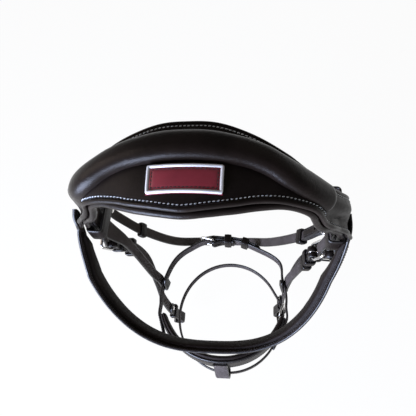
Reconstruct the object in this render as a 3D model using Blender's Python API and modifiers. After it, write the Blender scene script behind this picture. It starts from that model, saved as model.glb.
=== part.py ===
"""An English horse bridle with a padded, ear-relieved crownpiece, as it hangs from its crown.

Metres, +Z up, the wearer's nose towards -Y, the origin on the padding under the middle of the crown.
Each strap is a sheet of leather laid along a line and given its thickness with Solidify.
"""

import math

import bmesh
import bpy
from mathutils import Matrix, Vector

MM = 0.001

# Clearances between pieces that touch on the real bridle
GAP = 0.3 * MM
RUNNER_GAP = 0.8 * MM

# Crown: an arch of leather over a pad, with a stuffed roll along its crest
ARCH_HALF_SPAN = 118.5 * MM
ARCH_RISE = 79.6 * MM
ARCH_LEG = 30 * MM
# How far the arch lies outside a true ellipse, at lengths along it
ARCH_FLARE = [(70 * MM, 0.0), (118 * MM, -4.5 * MM), (165 * MM, 1.5 * MM)]
CROWN_LEATHER = 3 * MM
PAD_THICKNESS = 7 * MM
PAD_PROUD = 6 * MM
PAD_SHORT_OF_LEATHER = 20 * MM
CROWN_CAMBER = 4 * MM
PIPING_RADIUS = 2.6 * MM
PIPING_ROOM = 1 * MM
CROWN_STATIONS = 40
ROLL_HALF_WIDTH = 12.8 * MM
ROLL_HEIGHT = 9 * MM
ROLL_END_HEIGHT = 6.5 * MM
ROLL_HALF_LENGTH = 122 * MM
ROLL_SEAT = 0.8 * MM
SEAT_HALF_LENGTH = 10 * MM
SEAT_HALF_WIDTH = 14 * MM
# Outline of the crown's leather: distance from the middle along the arch, and place across it
CROWN_FRONT = [
    (0, -39), (19, -36.6), (35, -32.4), (51, -28), (63, -25.6), (80, -24), (107, -22), (130, -15), (155, -6),
    (170, -2), (188, -1),
]
CROWN_REAR = [(0, 27), (15, 26.4), (29, 24), (44, 19.5), (59, 14), (75, 8), (91, 4), (111, 3), (135, 5), (165, 13), (188, 20)]
ROLL_LINE = [(0, 7.2), (40, 5), (57, 1), (71, -4.5), (85, -8.1), (97, -9.1), (122, -8.9)]

# Name plate on the crown's front slope
BADGE_LENGTH = 54 * MM
BADGE_WIDTH = 21.5 * MM
BADGE_MIDDLE = -19.7 * MM
BADGE_BORDER = 2.4 * MM
BADGE_HEIGHT = 2.6 * MM
BADGE_INSERT_HEIGHT = 1.6 * MM

# The leather tab at each end of the crown, which passes down through the browband's loop
TAB_THICKNESS = 4 * MM
TAB_FRONT = -6 * MM
TAB_REAR = 39 * MM
TAB_REAR_TOP = 18 * MM
TAB_UNDER_CROWN = 14 * MM
TAB_LENGTH = 39 * MM
TAB_ROOM = 0.7 * MM

# Browband: a padded band in a tilted plane, with a loop round each tab
BROW_LOOP_HEIGHT = 18 * MM
BROW_LOOP_LEATHER = 2.4 * MM
BROW_LOOP_ROOM = 4 * MM
BROW_LOOP_BELOW_CROWN = 12 * MM
BROW_LOOP_INSIDE = 6.5 * MM
BROW_LOOP_CORNER = 3 * MM
BROW_WIDTH = 25 * MM
BROW_LEATHER = 2.6 * MM
BROW_PAD = 5 * MM
BROW_DEPTH = 134 * MM
BROW_TILT = math.radians(57)
BROW_LEAN = math.radians(36)
BROW_OUTSIDE = 4.5 * MM
BROW_FULLNESS = 0.72

# Straps: width, thickness of the leather, radius of the buckle's wire
CHEEK = {"width": 16 * MM, "leather": 2.8 * MM, "wire": 1.5 * MM}
HANGER = {"width": 12 * MM, "leather": 2.4 * MM, "wire": 1.3 * MM}
THROAT = {"width": 11.5 * MM, "leather": 2.4 * MM, "wire": 1.3 * MM}
CHIN = {"width": 14 * MM, "leather": 2.6 * MM, "wire": 1.4 * MM}
FLASH = {"width": 10 * MM, "leather": 2.2 * MM, "wire": 1.2 * MM}

# Buckles and keepers, common to every strap
FRAME_LENGTH = 17 * MM
FOLD_ROOM = 0.6 * MM
FRAME_ROOM = 1 * MM
FRAME_CORNER = 3.5 * MM
FRAME_TILT = math.radians(23)
TONGUE_RADIUS = 1.1 * MM
TONGUE_PAST_BAR = 2.6 * MM
TONGUE_HOLE_BEFORE = 1.9 * MM
TONGUE_HOLE_AFTER = 7 * MM
HOLE_RADIUS = 1.8 * MM
HOLE_SPACING = 19 * MM
HOLE_COUNT = 3
CHAPE_LENGTH = 28 * MM
BILLET_SETTLE = 13 * MM
BILLET_RISE = 20 * MM
KEEPER_LEATHER = 1.8 * MM
KEEPER_LENGTH = 9 * MM
TIP_LENGTH = 9 * MM
KEEPER_ROOM = 0.5 * MM
# Where the fixed keepers and the runners are, on from each buckle
CHEEK_KEEPER_AT = 20 * MM
KEEPER_AT = 19 * MM
CHEEK_RUNNER_AT = 58 * MM
HANGER_RUNNER_AT = 37.5 * MM
THROAT_RUNNER_AT = 40 * MM
CHIN_RUNNER_AT = 42 * MM
SEGMENT = 9 * MM
HANGER_ROOM = 0.8 * MM
FLASH_TAB_ROOM = 3.7 * MM

# Lines that the straps hang along, right side, in millimetres: hand-placed, top to bottom
CHEEK_TOP = [(114.4, 3, -139), (114.4, 3, -144), (116, 5, -157), (114.5, 11, -178), (108.5, 24, -215)]
# The bridle hangs a little twisted, so the left cheekpiece comes down further forward
CHEEK_RIGHT = [(98.5, 32, -275), (88, 29, -325), (82, 25, -370), (77, 20, -462)]
CHEEK_LEFT = [(99, 33, -275), (95, 21, -322), (93, 8, -370), (87, 6, -462)]
HANGER_LINE = [
    (110.4, 4, -94), (110.4, 4, -119), (107, 4, -135), (100, 5, -158), (95, 7, -195), (86, 10, -262),
    (81.7, 11.7, -290), (81.6, 11.7, -301),
]
THROAT_LINE = [
    (114.4, 32, -139), (114.4, 32, -149), (108, 32, -163), (92, 34, -192), (62, 54, -262), (31, 80, -321), (0, 90, -344),
]
CHEEK_BUCKLE = 27 * MM
CHEEK_BILLET = 158 * MM
HANGER_BUCKLE = 77 * MM
HANGER_BILLET = 123 * MM
HANGER_TOP_WIDTH = 19 * MM
HANGER_WIDE_UNTIL = 30 * MM
HANGER_NARROW_FROM = 75 * MM
HANGER_SLACK = 6 * MM
THROAT_BUCKLE = 26 * MM
THROAT_BILLET = 78 * MM
THROAT_KEEPER = 60 * MM
# As it hangs, the ends of the crown sit a little to the right, the left one also a little back
SWAY = 6.5 * MM
TWIST = 0.042
SWAY_LEVELS = [(-290 * MM, 0.0), (-150 * MM, 1.0), (-36 * MM, 1.0), (2 * MM, 0.0)]
BIT_LOOP_RADIUS = 8 * MM
BIT_RETURN = 62 * MM
BIT_KEEPER_UP = 14 * MM
STUD_RADIUS = 3 * MM
STUD_HEIGHT = 1.6 * MM

# Noseband: an oval ring, lower in front, padded over the nose
RING_HALF_WIDTH = 81.5 * MM
RING_HALF_DEPTH = 78 * MM
RING_CENTRE = (0, -10 * MM, -304 * MM)
RING_SLOPE = 0.16
# Where the ring is fuller than an oval behind: from an angle to an angle, and how much wider between them
RING_FULLER = [(math.radians(108), math.radians(180), 0.07), (math.radians(205), math.radians(252), 0.15)]
NOSE_HEIGHT = 34 * MM
NOSE_SIDE_HEIGHT = 16 * MM
NOSE_LEATHER = 3 * MM
NOSE_PAD = 7 * MM
NOSE_HALF_ANGLE = math.radians(74)
CHIN_LAP = 22 * MM
CHIN_SETTLE = 16 * MM
CHIN_BEND = 4 * MM
CHIN_BUCKLE_ANGLE = math.radians(170)
CHIN_BILLET_PAST = 63 * MM

# Flash strap: a second, lighter ring below, through a loop on the nose piece
FLASH_HALF_WIDTH = 69.5 * MM
FLASH_HALF_DEPTH = 74 * MM
FLASH_CENTRE = (5 * MM, -18 * MM, -354 * MM)
FLASH_SLOPE = 0.03
FLASH_BUCKLE_ANGLE = math.radians(268)
FLASH_BILLET_PAST = 46 * MM
FLASH_BILLET_BEFORE = 50 * MM
FLASH_PLAIN_BEFORE = 60 * MM
# How far the strap's line starts before its buckle and goes on past it, as turns round the ring
FLASH_RUN_IN = 0.9
FLASH_RUN_OUT = 1.4
FLASH_TAB_LEATHER = 2.2 * MM

ARCH_TOP = CROWN_LEATHER + GAP + PAD_THICKNESS
SHARP_ANGLE = math.radians(40)
UP = Vector((0, 0, 1))


# The scene, its collections and materials


def clear_scene():
    for old in list(bpy.data.objects):
        bpy.data.objects.remove(old)


def new_collection(name):
    made = bpy.data.collections.new(name)
    bpy.context.scene.collection.children.link(made)
    return made


def new_material(name, colour, roughness, metallic=0.0):
    made = bpy.data.materials.new(name)
    made.use_nodes = True
    shader = made.node_tree.nodes["Principled BSDF"]
    shader.inputs["Base Color"].default_value = (*colour, 1)
    shader.inputs["Roughness"].default_value = roughness
    shader.inputs["Metallic"].default_value = metallic
    return made


clear_scene()
BRIDLE = new_collection("bridle")
CUTTERS = new_collection("cutters")
LEATHER = new_material("black_leather", (0.022, 0.019, 0.018), 0.5)
PADDING = new_material("soft_padding", (0.018, 0.018, 0.02), 0.6)
STEEL = new_material("stainless_steel", (0.72, 0.72, 0.74), 0.22, 1.0)
RED = new_material("red_insert", (0.3, 0.02, 0.035), 0.5)


def add_object(name, data, material, collection=None):
    made = bpy.data.objects.new(name, data)
    (collection or BRIDLE).objects.link(made)
    if material:
        data.materials.append(material)
    return made


def mesh_from(name, work):
    mesh = bpy.data.meshes.new(name)
    work.to_mesh(mesh)
    work.free()
    return mesh


def smooth_shaded(mesh):
    mesh.shade_smooth()
    mesh.set_sharp_from_angle(angle=SHARP_ANGLE)
    return mesh


# Sheets, lofts and wires


def sheet(name, rows, thickness, material, closed=False, offset=0.0):
    """A sheet of leather through rows of points, two or more to a row, made solid on both sides or on one."""
    across = len(rows[0]) - 1
    along = len(rows) - 1
    work = bmesh.new()
    bmesh.ops.create_grid(work, x_segments=across, y_segments=along, size=0.5)
    for vertex in work.verts:
        column = round((vertex.co.x + 0.5) * across)
        row = round((vertex.co.y + 0.5) * along)
        vertex.co = rows[row][column]
    if closed:
        bmesh.ops.remove_doubles(work, verts=work.verts, dist=0.01 * MM)
    made = add_object(name, mesh_from(name, work), material)
    solid = made.modifiers.new("thickness", "SOLIDIFY")
    solid.thickness = thickness
    solid.offset = offset
    solid.use_even_offset = True
    return made


def loft(name, rings, material):
    """A closed body skinned over rings of points, with a flat face at each end."""
    work = bmesh.new()
    made_rings = [[work.verts.new(point) for point in ring] for ring in rings]
    for first, second in zip(made_rings, made_rings[1:]):
        for k in range(len(first)):
            after = (k + 1) % len(first)
            work.faces.new((first[k], first[after], second[after], second[k]))
    work.faces.new(reversed(made_rings[0]))
    work.faces.new(made_rings[-1])
    bmesh.ops.recalc_face_normals(work, faces=work.faces)
    return add_object(name, smooth_shaded(mesh_from(name, work)), material)


def wire(name, points, radius, material, closed=False, bevel_resolution=1):
    """A round wire or tube along a polyline."""
    curve = bpy.data.curves.new(name, "CURVE")
    curve.dimensions = "3D"
    curve.bevel_depth = radius
    curve.bevel_resolution = bevel_resolution
    curve.use_fill_caps = not closed
    spline = curve.splines.new("POLY")
    spline.points.add(len(points) - 1)
    for target, point in zip(spline.points, points):
        target.co = (*point, 1)
    spline.use_cyclic_u = closed
    return add_object(name, curve, material)


def cut(target, cutter_rows, what="holes"):
    """Takes closed lofts away from a piece. Each cutter is a list of rings."""
    work = bmesh.new()
    for rings in cutter_rows:
        made_rings = [[work.verts.new(point) for point in ring] for ring in rings]
        for first, second in zip(made_rings, made_rings[1:]):
            for k in range(len(first)):
                after = (k + 1) % len(first)
                work.faces.new((first[k], first[after], second[after], second[k]))
        work.faces.new(reversed(made_rings[0]))
        work.faces.new(made_rings[-1])
    bmesh.ops.recalc_face_normals(work, faces=work.faces)
    name = f"{target.name}_{what}_cutter"
    cutter = add_object(name, mesh_from(name, work), None, CUTTERS)
    cutter.hide_render = True
    cutter.display_type = "WIRE"
    difference = target.modifiers.new(what, "BOOLEAN")
    difference.operation = "DIFFERENCE"
    difference.object = cutter
    difference.solver = "EXACT"


def pivot(name, place, axis, parent=None):
    """An empty on a joint's axis: its Z points along the axis."""
    made = bpy.data.objects.new(name, None)
    BRIDLE.objects.link(made)
    turn = Vector(axis).normalized().to_track_quat("Z", "Y").to_matrix().to_4x4()
    made.matrix_world = Matrix.Translation(place) @ turn
    if parent:
        hang([made], parent)
    return made


def hang(pieces, parent):
    """Parents pieces to a joint's empty, where they are."""
    bpy.context.view_layer.update()
    for piece in pieces:
        place = piece.matrix_world.copy()
        piece.parent = parent
        piece.matrix_parent_inverse = parent.matrix_world.inverted()
        piece.matrix_world = place


# Lines: smooth routes with a frame at each length along them


def interpolate(knots, at):
    """A smooth value through (place, value) knots, level at neither end unless the knots are."""
    at = max(knots[0][0], min(knots[-1][0], at))
    k = max(i for i in range(len(knots) - 1) if knots[i][0] <= at)
    x0, y0 = knots[k]
    x1, y1 = knots[k + 1]
    before = knots[k - 1] if k else (2 * x0 - x1, y1)
    after = knots[k + 2] if k + 2 < len(knots) else (2 * x1 - x0, 2 * y1 - y0)
    t = (at - x0) / (x1 - x0)
    slope0 = (y1 - before[1]) / (x1 - before[0]) * (x1 - x0)
    slope1 = (after[1] - y0) / (after[0] - x0) * (x1 - x0)
    return (
        (2 * t**3 - 3 * t**2 + 1) * y0
        + (t**3 - 2 * t**2 + t) * slope0
        + (3 * t**2 - 2 * t**3) * y1
        + (t**3 - t**2) * slope1
    )


def eased(knots, at):
    """A value through knots that is level at each of them."""
    if at <= knots[0][0]:
        return knots[0][1]
    for (x0, y0), (x1, y1) in zip(knots, knots[1:]):
        if at <= x1:
            share = (1 - math.cos(math.pi * (at - x0) / (x1 - x0))) / 2
            return y0 + (y1 - y0) * share
    return knots[-1][1]


def settled(point):
    """Where a point of the upper bridle comes to as it hangs."""
    share = eased(SWAY_LEVELS, point.z)
    return Vector((point.x + SWAY * share, point.y - TWIST * point.x * share, point.z))


class Line:
    """A route with a tangent, a width direction and an outward normal at each length along it."""

    def __init__(self, points, width_hint, end_hint=None):
        self.points = points
        self.hint = Vector(width_hint)
        self.end_hint = Vector(end_hint or width_hint)
        self.lengths = [0.0]
        for a, b in zip(points, points[1:]):
            self.lengths.append(self.lengths[-1] + (b - a).length)
        self.length = self.lengths[-1]

    def segment(self, s):
        inside = max(0.0, min(self.length - 1e-9, s))
        low, high = 0, len(self.lengths) - 1
        while high - low > 1:
            middle = (low + high) // 2
            if self.lengths[middle] <= inside:
                low = middle
            else:
                high = middle
        return low

    def place(self, s):
        k = self.segment(s)
        share = (s - self.lengths[k]) / (self.lengths[k + 1] - self.lengths[k])
        return self.points[k].lerp(self.points[k + 1], share)

    def frame(self, s):
        """Width direction, tangent and outward normal."""
        step = 2 * MM
        tangent = (self.place(s + step) - self.place(s - step)).normalized()
        share = max(0.0, min(1.0, s / self.length))
        hint = self.hint.lerp(self.end_hint, share * share)
        width = (hint - hint.dot(tangent) * tangent).normalized()
        return width, tangent, tangent.cross(width)

    def at(self, s, normal=0.0, across=0.0):
        width, _, outward = self.frame(s)
        return self.place(s) + outward * normal + width * across


def smooth_line(points_mm, side, width_hint, end_hint=None, mirrored_after=False):
    """A line through hand-placed points on the right side, or the left with side -1."""
    points = [Vector((x * side, y, z)) * MM for x, y, z in points_mm]
    if mirrored_after:
        points += [Vector((-p.x, p.y, p.z)) for p in reversed(points[:-1])]
    points = [settled(p) for p in points]
    chord = [0.0]
    for a, b in zip(points, points[1:]):
        chord.append(chord[-1] + (b - a).length)
    knots = [[(c, p[axis]) for c, p in zip(chord, points)] for axis in range(3)]
    for axis in range(3):
        first, second = knots[axis][0], knots[axis][1]
        knots[axis].insert(0, (2 * first[0] - second[0], 2 * first[1] - second[1]))
    count = 160
    fine = [
        Vector([interpolate(knots[axis], chord[-1] * k / count) for axis in range(3)])
        for k in range(count + 1)
    ]
    return Line(fine, width_hint, end_hint)


def ring_line(centre, half_width, half_depth, slope, start, turn, fuller=()):
    """An oval route seen from above, from an angle at the front through the left side and the back."""
    count = 240
    points = []
    for k in range(count + 1):
        angle = start + turn * k / count
        y = -half_depth * math.cos(angle)
        wide = half_width
        for low, high, extra in fuller:
            if low < angle < high:
                wide *= 1 + extra * math.sin(math.pi * (angle - low) / (high - low)) ** 2
        points.append(Vector(centre) + Vector((-wide * math.sin(angle), y, slope * y)))
    return Line(points, -UP)


# Straps


def strap(name, line, stations, width, leather, round_end=True):
    """A strap through (length along the line, offset along its normal) stations; the width may be a function."""
    rows = []
    last = len(stations) - 1
    for k, (s, normal) in enumerate(stations):
        half = (width(s) if callable(width) else width) / 2
        if round_end and k >= last - 2:
            half *= (1.0, 0.82, 0.45)[k - last + 2]
        rows.append([line.at(s, normal, -half), line.at(s, normal, half)])
    return sheet(name, rows, leather, LEATHER)


def spread(start, stop, count, offset=None):
    """Stations at even lengths, with an offset for each if a function is given."""
    places = [start + (stop - start) * k / count for k in range(count + 1)]
    return [(s, offset(s) if offset else 0.0) for s in places]


def tip_stations(stop, offset):
    """The last stations of a billet, where its end is rounded."""
    return [(stop - TIP_LENGTH, offset(stop)), (stop - TIP_LENGTH * 0.35, offset(stop)), (stop, offset(stop))]


def bar_offset(kind):
    """How far the buckle's bar lies inside the strap's own middle."""
    return -(kind["leather"] + GAP) / 2


def fold_radius(kind):
    return kind["wire"] + FOLD_ROOM + kind["leather"] / 2


def chape_stations(kind, buckle, towards=1):
    """The strap's end folded round the buckle's bar, from its free end to where it lies flat again.

    towards is 1 where the strap runs on down the line from the buckle, and -1 where it comes up to it.
    """
    inner = -(kind["leather"] + GAP)
    radius = fold_radius(kind)
    bar = bar_offset(kind)
    settle = CHAPE_LENGTH * 0.4
    flat = [CHAPE_LENGTH, CHAPE_LENGTH * 0.8, CHAPE_LENGTH * 0.6, settle]
    stations = [(buckle + towards * s, inner) for s in flat]
    steps = 6
    for k in range(steps + 1):
        angle = math.pi * k / steps
        stations.append((buckle - towards * radius * math.sin(angle), bar - radius * math.cos(angle)))
    stations += [(buckle + towards * s, 0.0) for s in reversed(flat[1:])]
    return stations


def billet_offset(kind, buckle):
    """The billet's route: behind the frame's front bar, over the bar, then along the strap."""
    leather, radius = kind["leather"], kind["wire"]
    bar = bar_offset(kind)
    front = bar + FRAME_LENGTH * math.sin(FRAME_TILT) - radius - 3 * GAP - leather / 2
    over = bar + fold_radius(kind) + leather + GAP
    knots = [
        (buckle - FRAME_LENGTH * math.cos(FRAME_TILT) - BILLET_RISE, 0.0),
        (buckle - FRAME_LENGTH * math.cos(FRAME_TILT), front),
        (buckle, over),
        (buckle + BILLET_SETTLE, leather + GAP),
    ]
    return lambda s: eased(knots, s)


def box_rings(line, start, stop, low, high, half):
    """A straight-sided cutter between two lengths of a line, as two rings."""
    return [
        [line.at(s, low, -half), line.at(s, low, half), line.at(s, high, half), line.at(s, high, -half)]
        for s in (start, stop)
    ]


def hole_rings(line, s, normal, depth, radius, stretch=0.0):
    """A punched hole, round or drawn out along the strap, as two rings across the leather."""
    width, tangent, outward = line.frame(s)
    middle = line.place(s) + outward * normal
    count = 8
    rings = []
    for side in (-depth, depth):
        ring = []
        for k in range(count):
            angle = 2 * math.pi * (k + 0.5) / count
            along = radius * math.sin(angle) + math.copysign(stretch, math.sin(angle))
            ring.append(middle + outward * side + width * radius * math.cos(angle) + tangent * along)
        rings.append(ring)
    return rings


def billet_stations(kind, buckle, stop, start, offset):
    """Closely spaced where the billet goes through the buckle."""
    front = buckle - FRAME_LENGTH * math.cos(FRAME_TILT)
    near = [front - BILLET_RISE, front - BILLET_RISE * 0.6, front - BILLET_RISE * 0.3, front, (front + buckle) / 2]
    near += [buckle - 3.5 * MM, buckle, buckle + 3.5 * MM, buckle + 7 * MM, buckle + BILLET_SETTLE]
    steps = max(1, math.ceil((near[0] - start) / SEGMENT))
    places = [start + (near[0] - start) * k / steps for k in range(steps)] if near[0] - start > 4 * MM else [start]
    places += [s for s in near if s > start + 4 * MM]
    end = stop - TIP_LENGTH
    count = max(2, math.ceil((end - near[-1]) / SEGMENT))
    places += [near[-1] + (end - near[-1]) * k / count for k in range(1, count)]
    return [(s, offset(s)) for s in places] + tip_stations(stop, offset)


def billet_holes(line, kind, buckle, stop, offset, count=HOLE_COUNT):
    """The oval hole that the tongue is in, and round ones after it."""
    slot_middle = buckle - (TONGUE_HOLE_AFTER - TONGUE_HOLE_BEFORE) / 2
    slot_half = (TONGUE_HOLE_AFTER + TONGUE_HOLE_BEFORE) / 2
    depth = kind["leather"] * 0.9
    cutters = [hole_rings(line, slot_middle, offset(slot_middle), depth * 1.7, HOLE_RADIUS, slot_half - HOLE_RADIUS)]
    for k in range(1, count + 1):
        place = buckle + k * HOLE_SPACING
        if place < stop - TIP_LENGTH - HOLE_RADIUS:
            cutters.append(hole_rings(line, place, offset(place), depth, HOLE_RADIUS))
    return cutters


def billet(name, line, kind, buckle, stop, width=None):
    """The strap that goes through a buckle, with its row of holes."""
    offset = billet_offset(kind, buckle)
    stations = billet_stations(kind, buckle, stop, 0.0, offset)
    made = strap(name, line, stations, width or kind["width"], kind["leather"])
    cut(made, billet_holes(line, kind, buckle, stop, offset))
    return made


def buckle_frame(name, line, kind, buckle):
    """A rounded rectangle of wire on the bar, its front bar lifted off the strap."""
    width, tangent, outward = line.frame(buckle)
    centre = line.place(buckle) + outward * bar_offset(kind)
    upstream = -tangent * math.cos(FRAME_TILT) + outward * math.sin(FRAME_TILT)
    half = kind["width"] / 2 + FRAME_ROOM + kind["wire"]
    corner = FRAME_CORNER
    points = []
    for side_across, side_along, start in ((1, 0, -90), (1, 1, 0), (-1, 1, 90), (-1, 0, 180)):
        for k in range(4):
            angle = math.radians(start + 30 * k)
            across = side_across * (half - corner) + corner * math.cos(angle)
            along = (FRAME_LENGTH - corner if side_along else corner) + corner * math.sin(angle)
            points.append(centre + width * across + upstream * along)
    return wire(name, points, kind["wire"], STEEL, closed=True)


def tongue(name, line, kind, buckle):
    """Bent wire: wrapped round the bar, up through the billet's hole and over the front bar."""
    width, tangent, outward = line.frame(buckle)
    centre = line.place(buckle) + outward * bar_offset(kind)
    leather, radius = kind["leather"], kind["wire"]
    wrap = radius + GAP + TONGUE_RADIUS
    over = fold_radius(kind) + leather + GAP
    above = over + leather / 2 + GAP + TONGUE_RADIUS
    front_along = FRAME_LENGTH * math.cos(FRAME_TILT)
    on_bar = FRAME_LENGTH * math.sin(FRAME_TILT) + radius + GAP + TONGUE_RADIUS
    route = []
    steps = 7
    for k in range(steps):
        angle = math.radians(-80 + 250 * k / (steps - 1))
        route.append((-wrap * math.sin(angle), -wrap * math.cos(angle)))
    route = [(-a, n) for a, n in route]
    route += [
        (TONGUE_RADIUS * 3.9, above - leather * 0.15),
        (TONGUE_RADIUS * 6.2, above + GAP * 2),
        (front_along, on_bar),
        (front_along + TONGUE_PAST_BAR, on_bar),
    ]
    points = [centre - tangent * along + outward * normal for along, normal in route]
    return wire(name, points, TONGUE_RADIUS, STEEL)


def keeper(name, line, kind, s, layers_in, layers_out, room=KEEPER_ROOM, length=KEEPER_LENGTH):
    """A leather loop round the layers of strap inside and outside the line's own."""
    pitch = kind["leather"] + GAP
    half_leather = kind["leather"] / 2
    low = -layers_in * pitch - half_leather - room - KEEPER_LEATHER / 2
    high = layers_out * pitch + half_leather + room + KEEPER_LEATHER / 2
    half = kind["width"] / 2 + room + KEEPER_LEATHER / 2
    corner = KEEPER_LEATHER * 0.9
    width, tangent, outward = line.frame(s)
    middle = line.place(s)
    outline = []
    for across, normal, start in ((1, high, 0), (-1, high, 90), (-1, low, 180), (1, low, 270)):
        for k in range(3):
            angle = math.radians(start + 45 * k)
            x = across * (half - corner) + corner * math.cos(angle)
            n = normal - math.copysign(corner, normal - (low + high) / 2) + corner * math.sin(angle)
            outline.append(middle + width * x + outward * n)
    outline.append(outline[0])
    rows = [[p - tangent * length / 2, p + tangent * length / 2] for p in outline]
    return sheet(name, rows, KEEPER_LEATHER, LEATHER, closed=True)


def tongue_slot(line, kind, buckle):
    """The slot through a folded end that the tongue swings in."""
    half = TONGUE_RADIUS + 2 * GAP
    reach = fold_radius(kind) + kind["leather"]
    return box_rings(line, buckle - reach, buckle + 1.6 * reach, bar_offset(kind) - 2 * reach, bar_offset(kind) + reach, half)


def buckle_axis(line, kind, s):
    """Centre of the buckle's bar and its direction."""
    width, _, outward = line.frame(s)
    return line.place(s) + outward * bar_offset(kind), width


# The crown


def arch_table():
    steps = 180
    table = [(0.0, 0.0)]
    for k in range(1, steps + 1):
        a = math.pi / 2 * (k - 1) / steps
        b = math.pi / 2 * k / steps
        dx = ARCH_HALF_SPAN * (math.sin(b) - math.sin(a))
        dz = ARCH_RISE * (math.cos(a) - math.cos(b))
        table.append((table[-1][0] + math.hypot(dx, dz), b))
    return table


ARCH_TABLE = arch_table()
ARCH_QUARTER = ARCH_TABLE[-1][0]
CROWN_HALF = ARCH_QUARTER + ARCH_LEG


def arch(s):
    """Point and outward normal in the XZ plane at a length along the arch from its middle."""
    side = math.copysign(1, s)
    away = abs(s)
    flare = eased(ARCH_FLARE, away)
    if away >= ARCH_QUARTER:
        x, z = ARCH_HALF_SPAN, ARCH_TOP - ARCH_RISE - (away - ARCH_QUARTER)
        normal = Vector((1, 0, 0))
    else:
        k = max(1, next(i for i, row in enumerate(ARCH_TABLE) if row[0] >= away))
        (s0, a0), (s1, a1) = ARCH_TABLE[k - 1], ARCH_TABLE[k]
        angle = a0 + (a1 - a0) * (away - s0) / (s1 - s0)
        x = ARCH_HALF_SPAN * math.sin(angle)
        z = ARCH_TOP - ARCH_RISE * (1 - math.cos(angle))
        normal = Vector((math.sin(angle) / ARCH_HALF_SPAN, 0, math.cos(angle) / ARCH_RISE)).normalized()
    return Vector(((x + flare) * side, 0, z)), Vector((normal.x * side, 0, normal.z))


def crown_edges(s):
    """Front and rear edge of the crown's leather at a length along the arch."""
    reach = CROWN_FRONT[-1][0]
    at = abs(s) / CROWN_HALF * reach
    return interpolate(CROWN_FRONT, at) * MM, interpolate(CROWN_REAR, at) * MM


def crown_point(s, y, height=0.0):
    """A point over the crown's outer face, which falls away a little towards both edges."""
    front, rear = crown_edges(s)
    share = (y - (front + rear) / 2) / ((rear - front) / 2)
    level = 1 - min(1.0, abs(s) / CROWN_HALF) ** 2
    point, normal = arch(s)
    sink = CROWN_CAMBER * share * share * level
    return settled(Vector((point.x, y, point.z)) + normal * (height - sink))


def crown_cover():
    """The visible leather of the crown."""
    across = 6
    rows = []
    for i in range(CROWN_STATIONS + 1):
        s = CROWN_HALF * (2 * i / CROWN_STATIONS - 1)
        front, rear = crown_edges(s)
        rows.append([crown_point(s, front + (rear - front) * j / across, -CROWN_LEATHER / 2) for j in range(across + 1)])
    return sheet("crown_cover", rows, CROWN_LEATHER, LEATHER)


def crown_padding():
    """The soft pad under the leather, proud of it along the front and rear, flat in the middle below."""
    half = CROWN_HALF - PAD_SHORT_OF_LEATHER
    top, bottom = -CROWN_LEATHER - 2 * GAP, -CROWN_LEATHER - GAP - PAD_THICKNESS
    middle = (top + bottom) / 2
    every = [CROWN_HALF * (2 * i / CROWN_STATIONS - 1) for i in range(CROWN_STATIONS + 1)]
    lengths = [s for s in every if SEAT_HALF_LENGTH < abs(s) <= half] + [-SEAT_HALF_LENGTH, SEAT_HALF_LENGTH]
    lengths.sort()
    rings = []
    for s in lengths:
        front, rear = crown_edges(s)
        outline = []
        for j in range(7):
            y = front + (rear - front) * j / 6
            outline.append(crown_point(s, y, top))
        outline.append(crown_point(s, rear + PAD_PROUD * 0.8, (top + middle) / 2))
        outline.append(crown_point(s, rear + PAD_PROUD, middle))
        outline.append(crown_point(s, rear + PAD_PROUD * 0.6, bottom + PAD_THICKNESS * 0.12))
        for y in (rear - PAD_PROUD, SEAT_HALF_WIDTH, -SEAT_HALF_WIDTH, front + PAD_PROUD):
            point = crown_point(s, max(min(y, rear - PAD_PROUD), front + PAD_PROUD), bottom)
            if abs(s) <= SEAT_HALF_LENGTH and abs(y) <= SEAT_HALF_WIDTH:
                point.z = 0.0
            outline.append(point)
        outline.append(crown_point(s, front - PAD_PROUD * 0.6, bottom + PAD_THICKNESS * 0.12))
        outline.append(crown_point(s, front - PAD_PROUD, middle))
        outline.append(crown_point(s, front - PAD_PROUD * 0.8, (top + middle) / 2))
        rings.append(outline)
    return loft("crown_padding", rings, PADDING)


def crown_roll():
    """The stuffed roll along the crest, with rounded ends."""
    stations = 28
    rings = []
    for i in range(stations + 1):
        u = 2 * i / stations - 1
        s = ROLL_HALF_LENGTH * math.sin(u * math.pi / 2)
        reach = ROLL_LINE[-1][0]
        middle = interpolate(ROLL_LINE, abs(s) / ROLL_HALF_LENGTH * reach) * MM
        round_off = min(1.0, (ROLL_HALF_LENGTH - abs(s)) / (ROLL_HALF_WIDTH * 0.8))
        size = max(0.35, math.sqrt(1 - (1 - round_off) ** 2))
        height = eased([(ROLL_HALF_LENGTH / 2, ROLL_HEIGHT), (ROLL_HALF_LENGTH, ROLL_END_HEIGHT)], abs(s))
        ring = []
        for k in range(9):
            angle = math.pi * k / 8
            y = middle - ROLL_HALF_WIDTH * size * math.cos(angle)
            ring.append(crown_point(s, y, ROLL_SEAT + height * size * math.sin(angle)))
        for share in (0.55, 0.1, -0.35):
            ring.append(crown_point(s, middle + ROLL_HALF_WIDTH * size * share, ROLL_SEAT))
        rings.append(ring)
    return loft("crown_roll", rings, LEATHER)


def crown_piping(name, which):
    """The rolled edge of the crown's leather, along its front or rear."""
    points = []
    for i in range(CROWN_STATIONS + 1):
        s = CROWN_HALF * (2 * i / CROWN_STATIONS - 1)
        front, rear = crown_edges(s)
        clear = PIPING_RADIUS + PIPING_ROOM
        beyond = clear if which == "rear" else -clear
        edge = crown_point(s, front if which == "front" else rear, PIPING_RADIUS * 0.55 - CROWN_LEATHER / 2)
        points.append(edge + Vector((0, beyond, 0)))
    return wire(name, points, PIPING_RADIUS, LEATHER)


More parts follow.
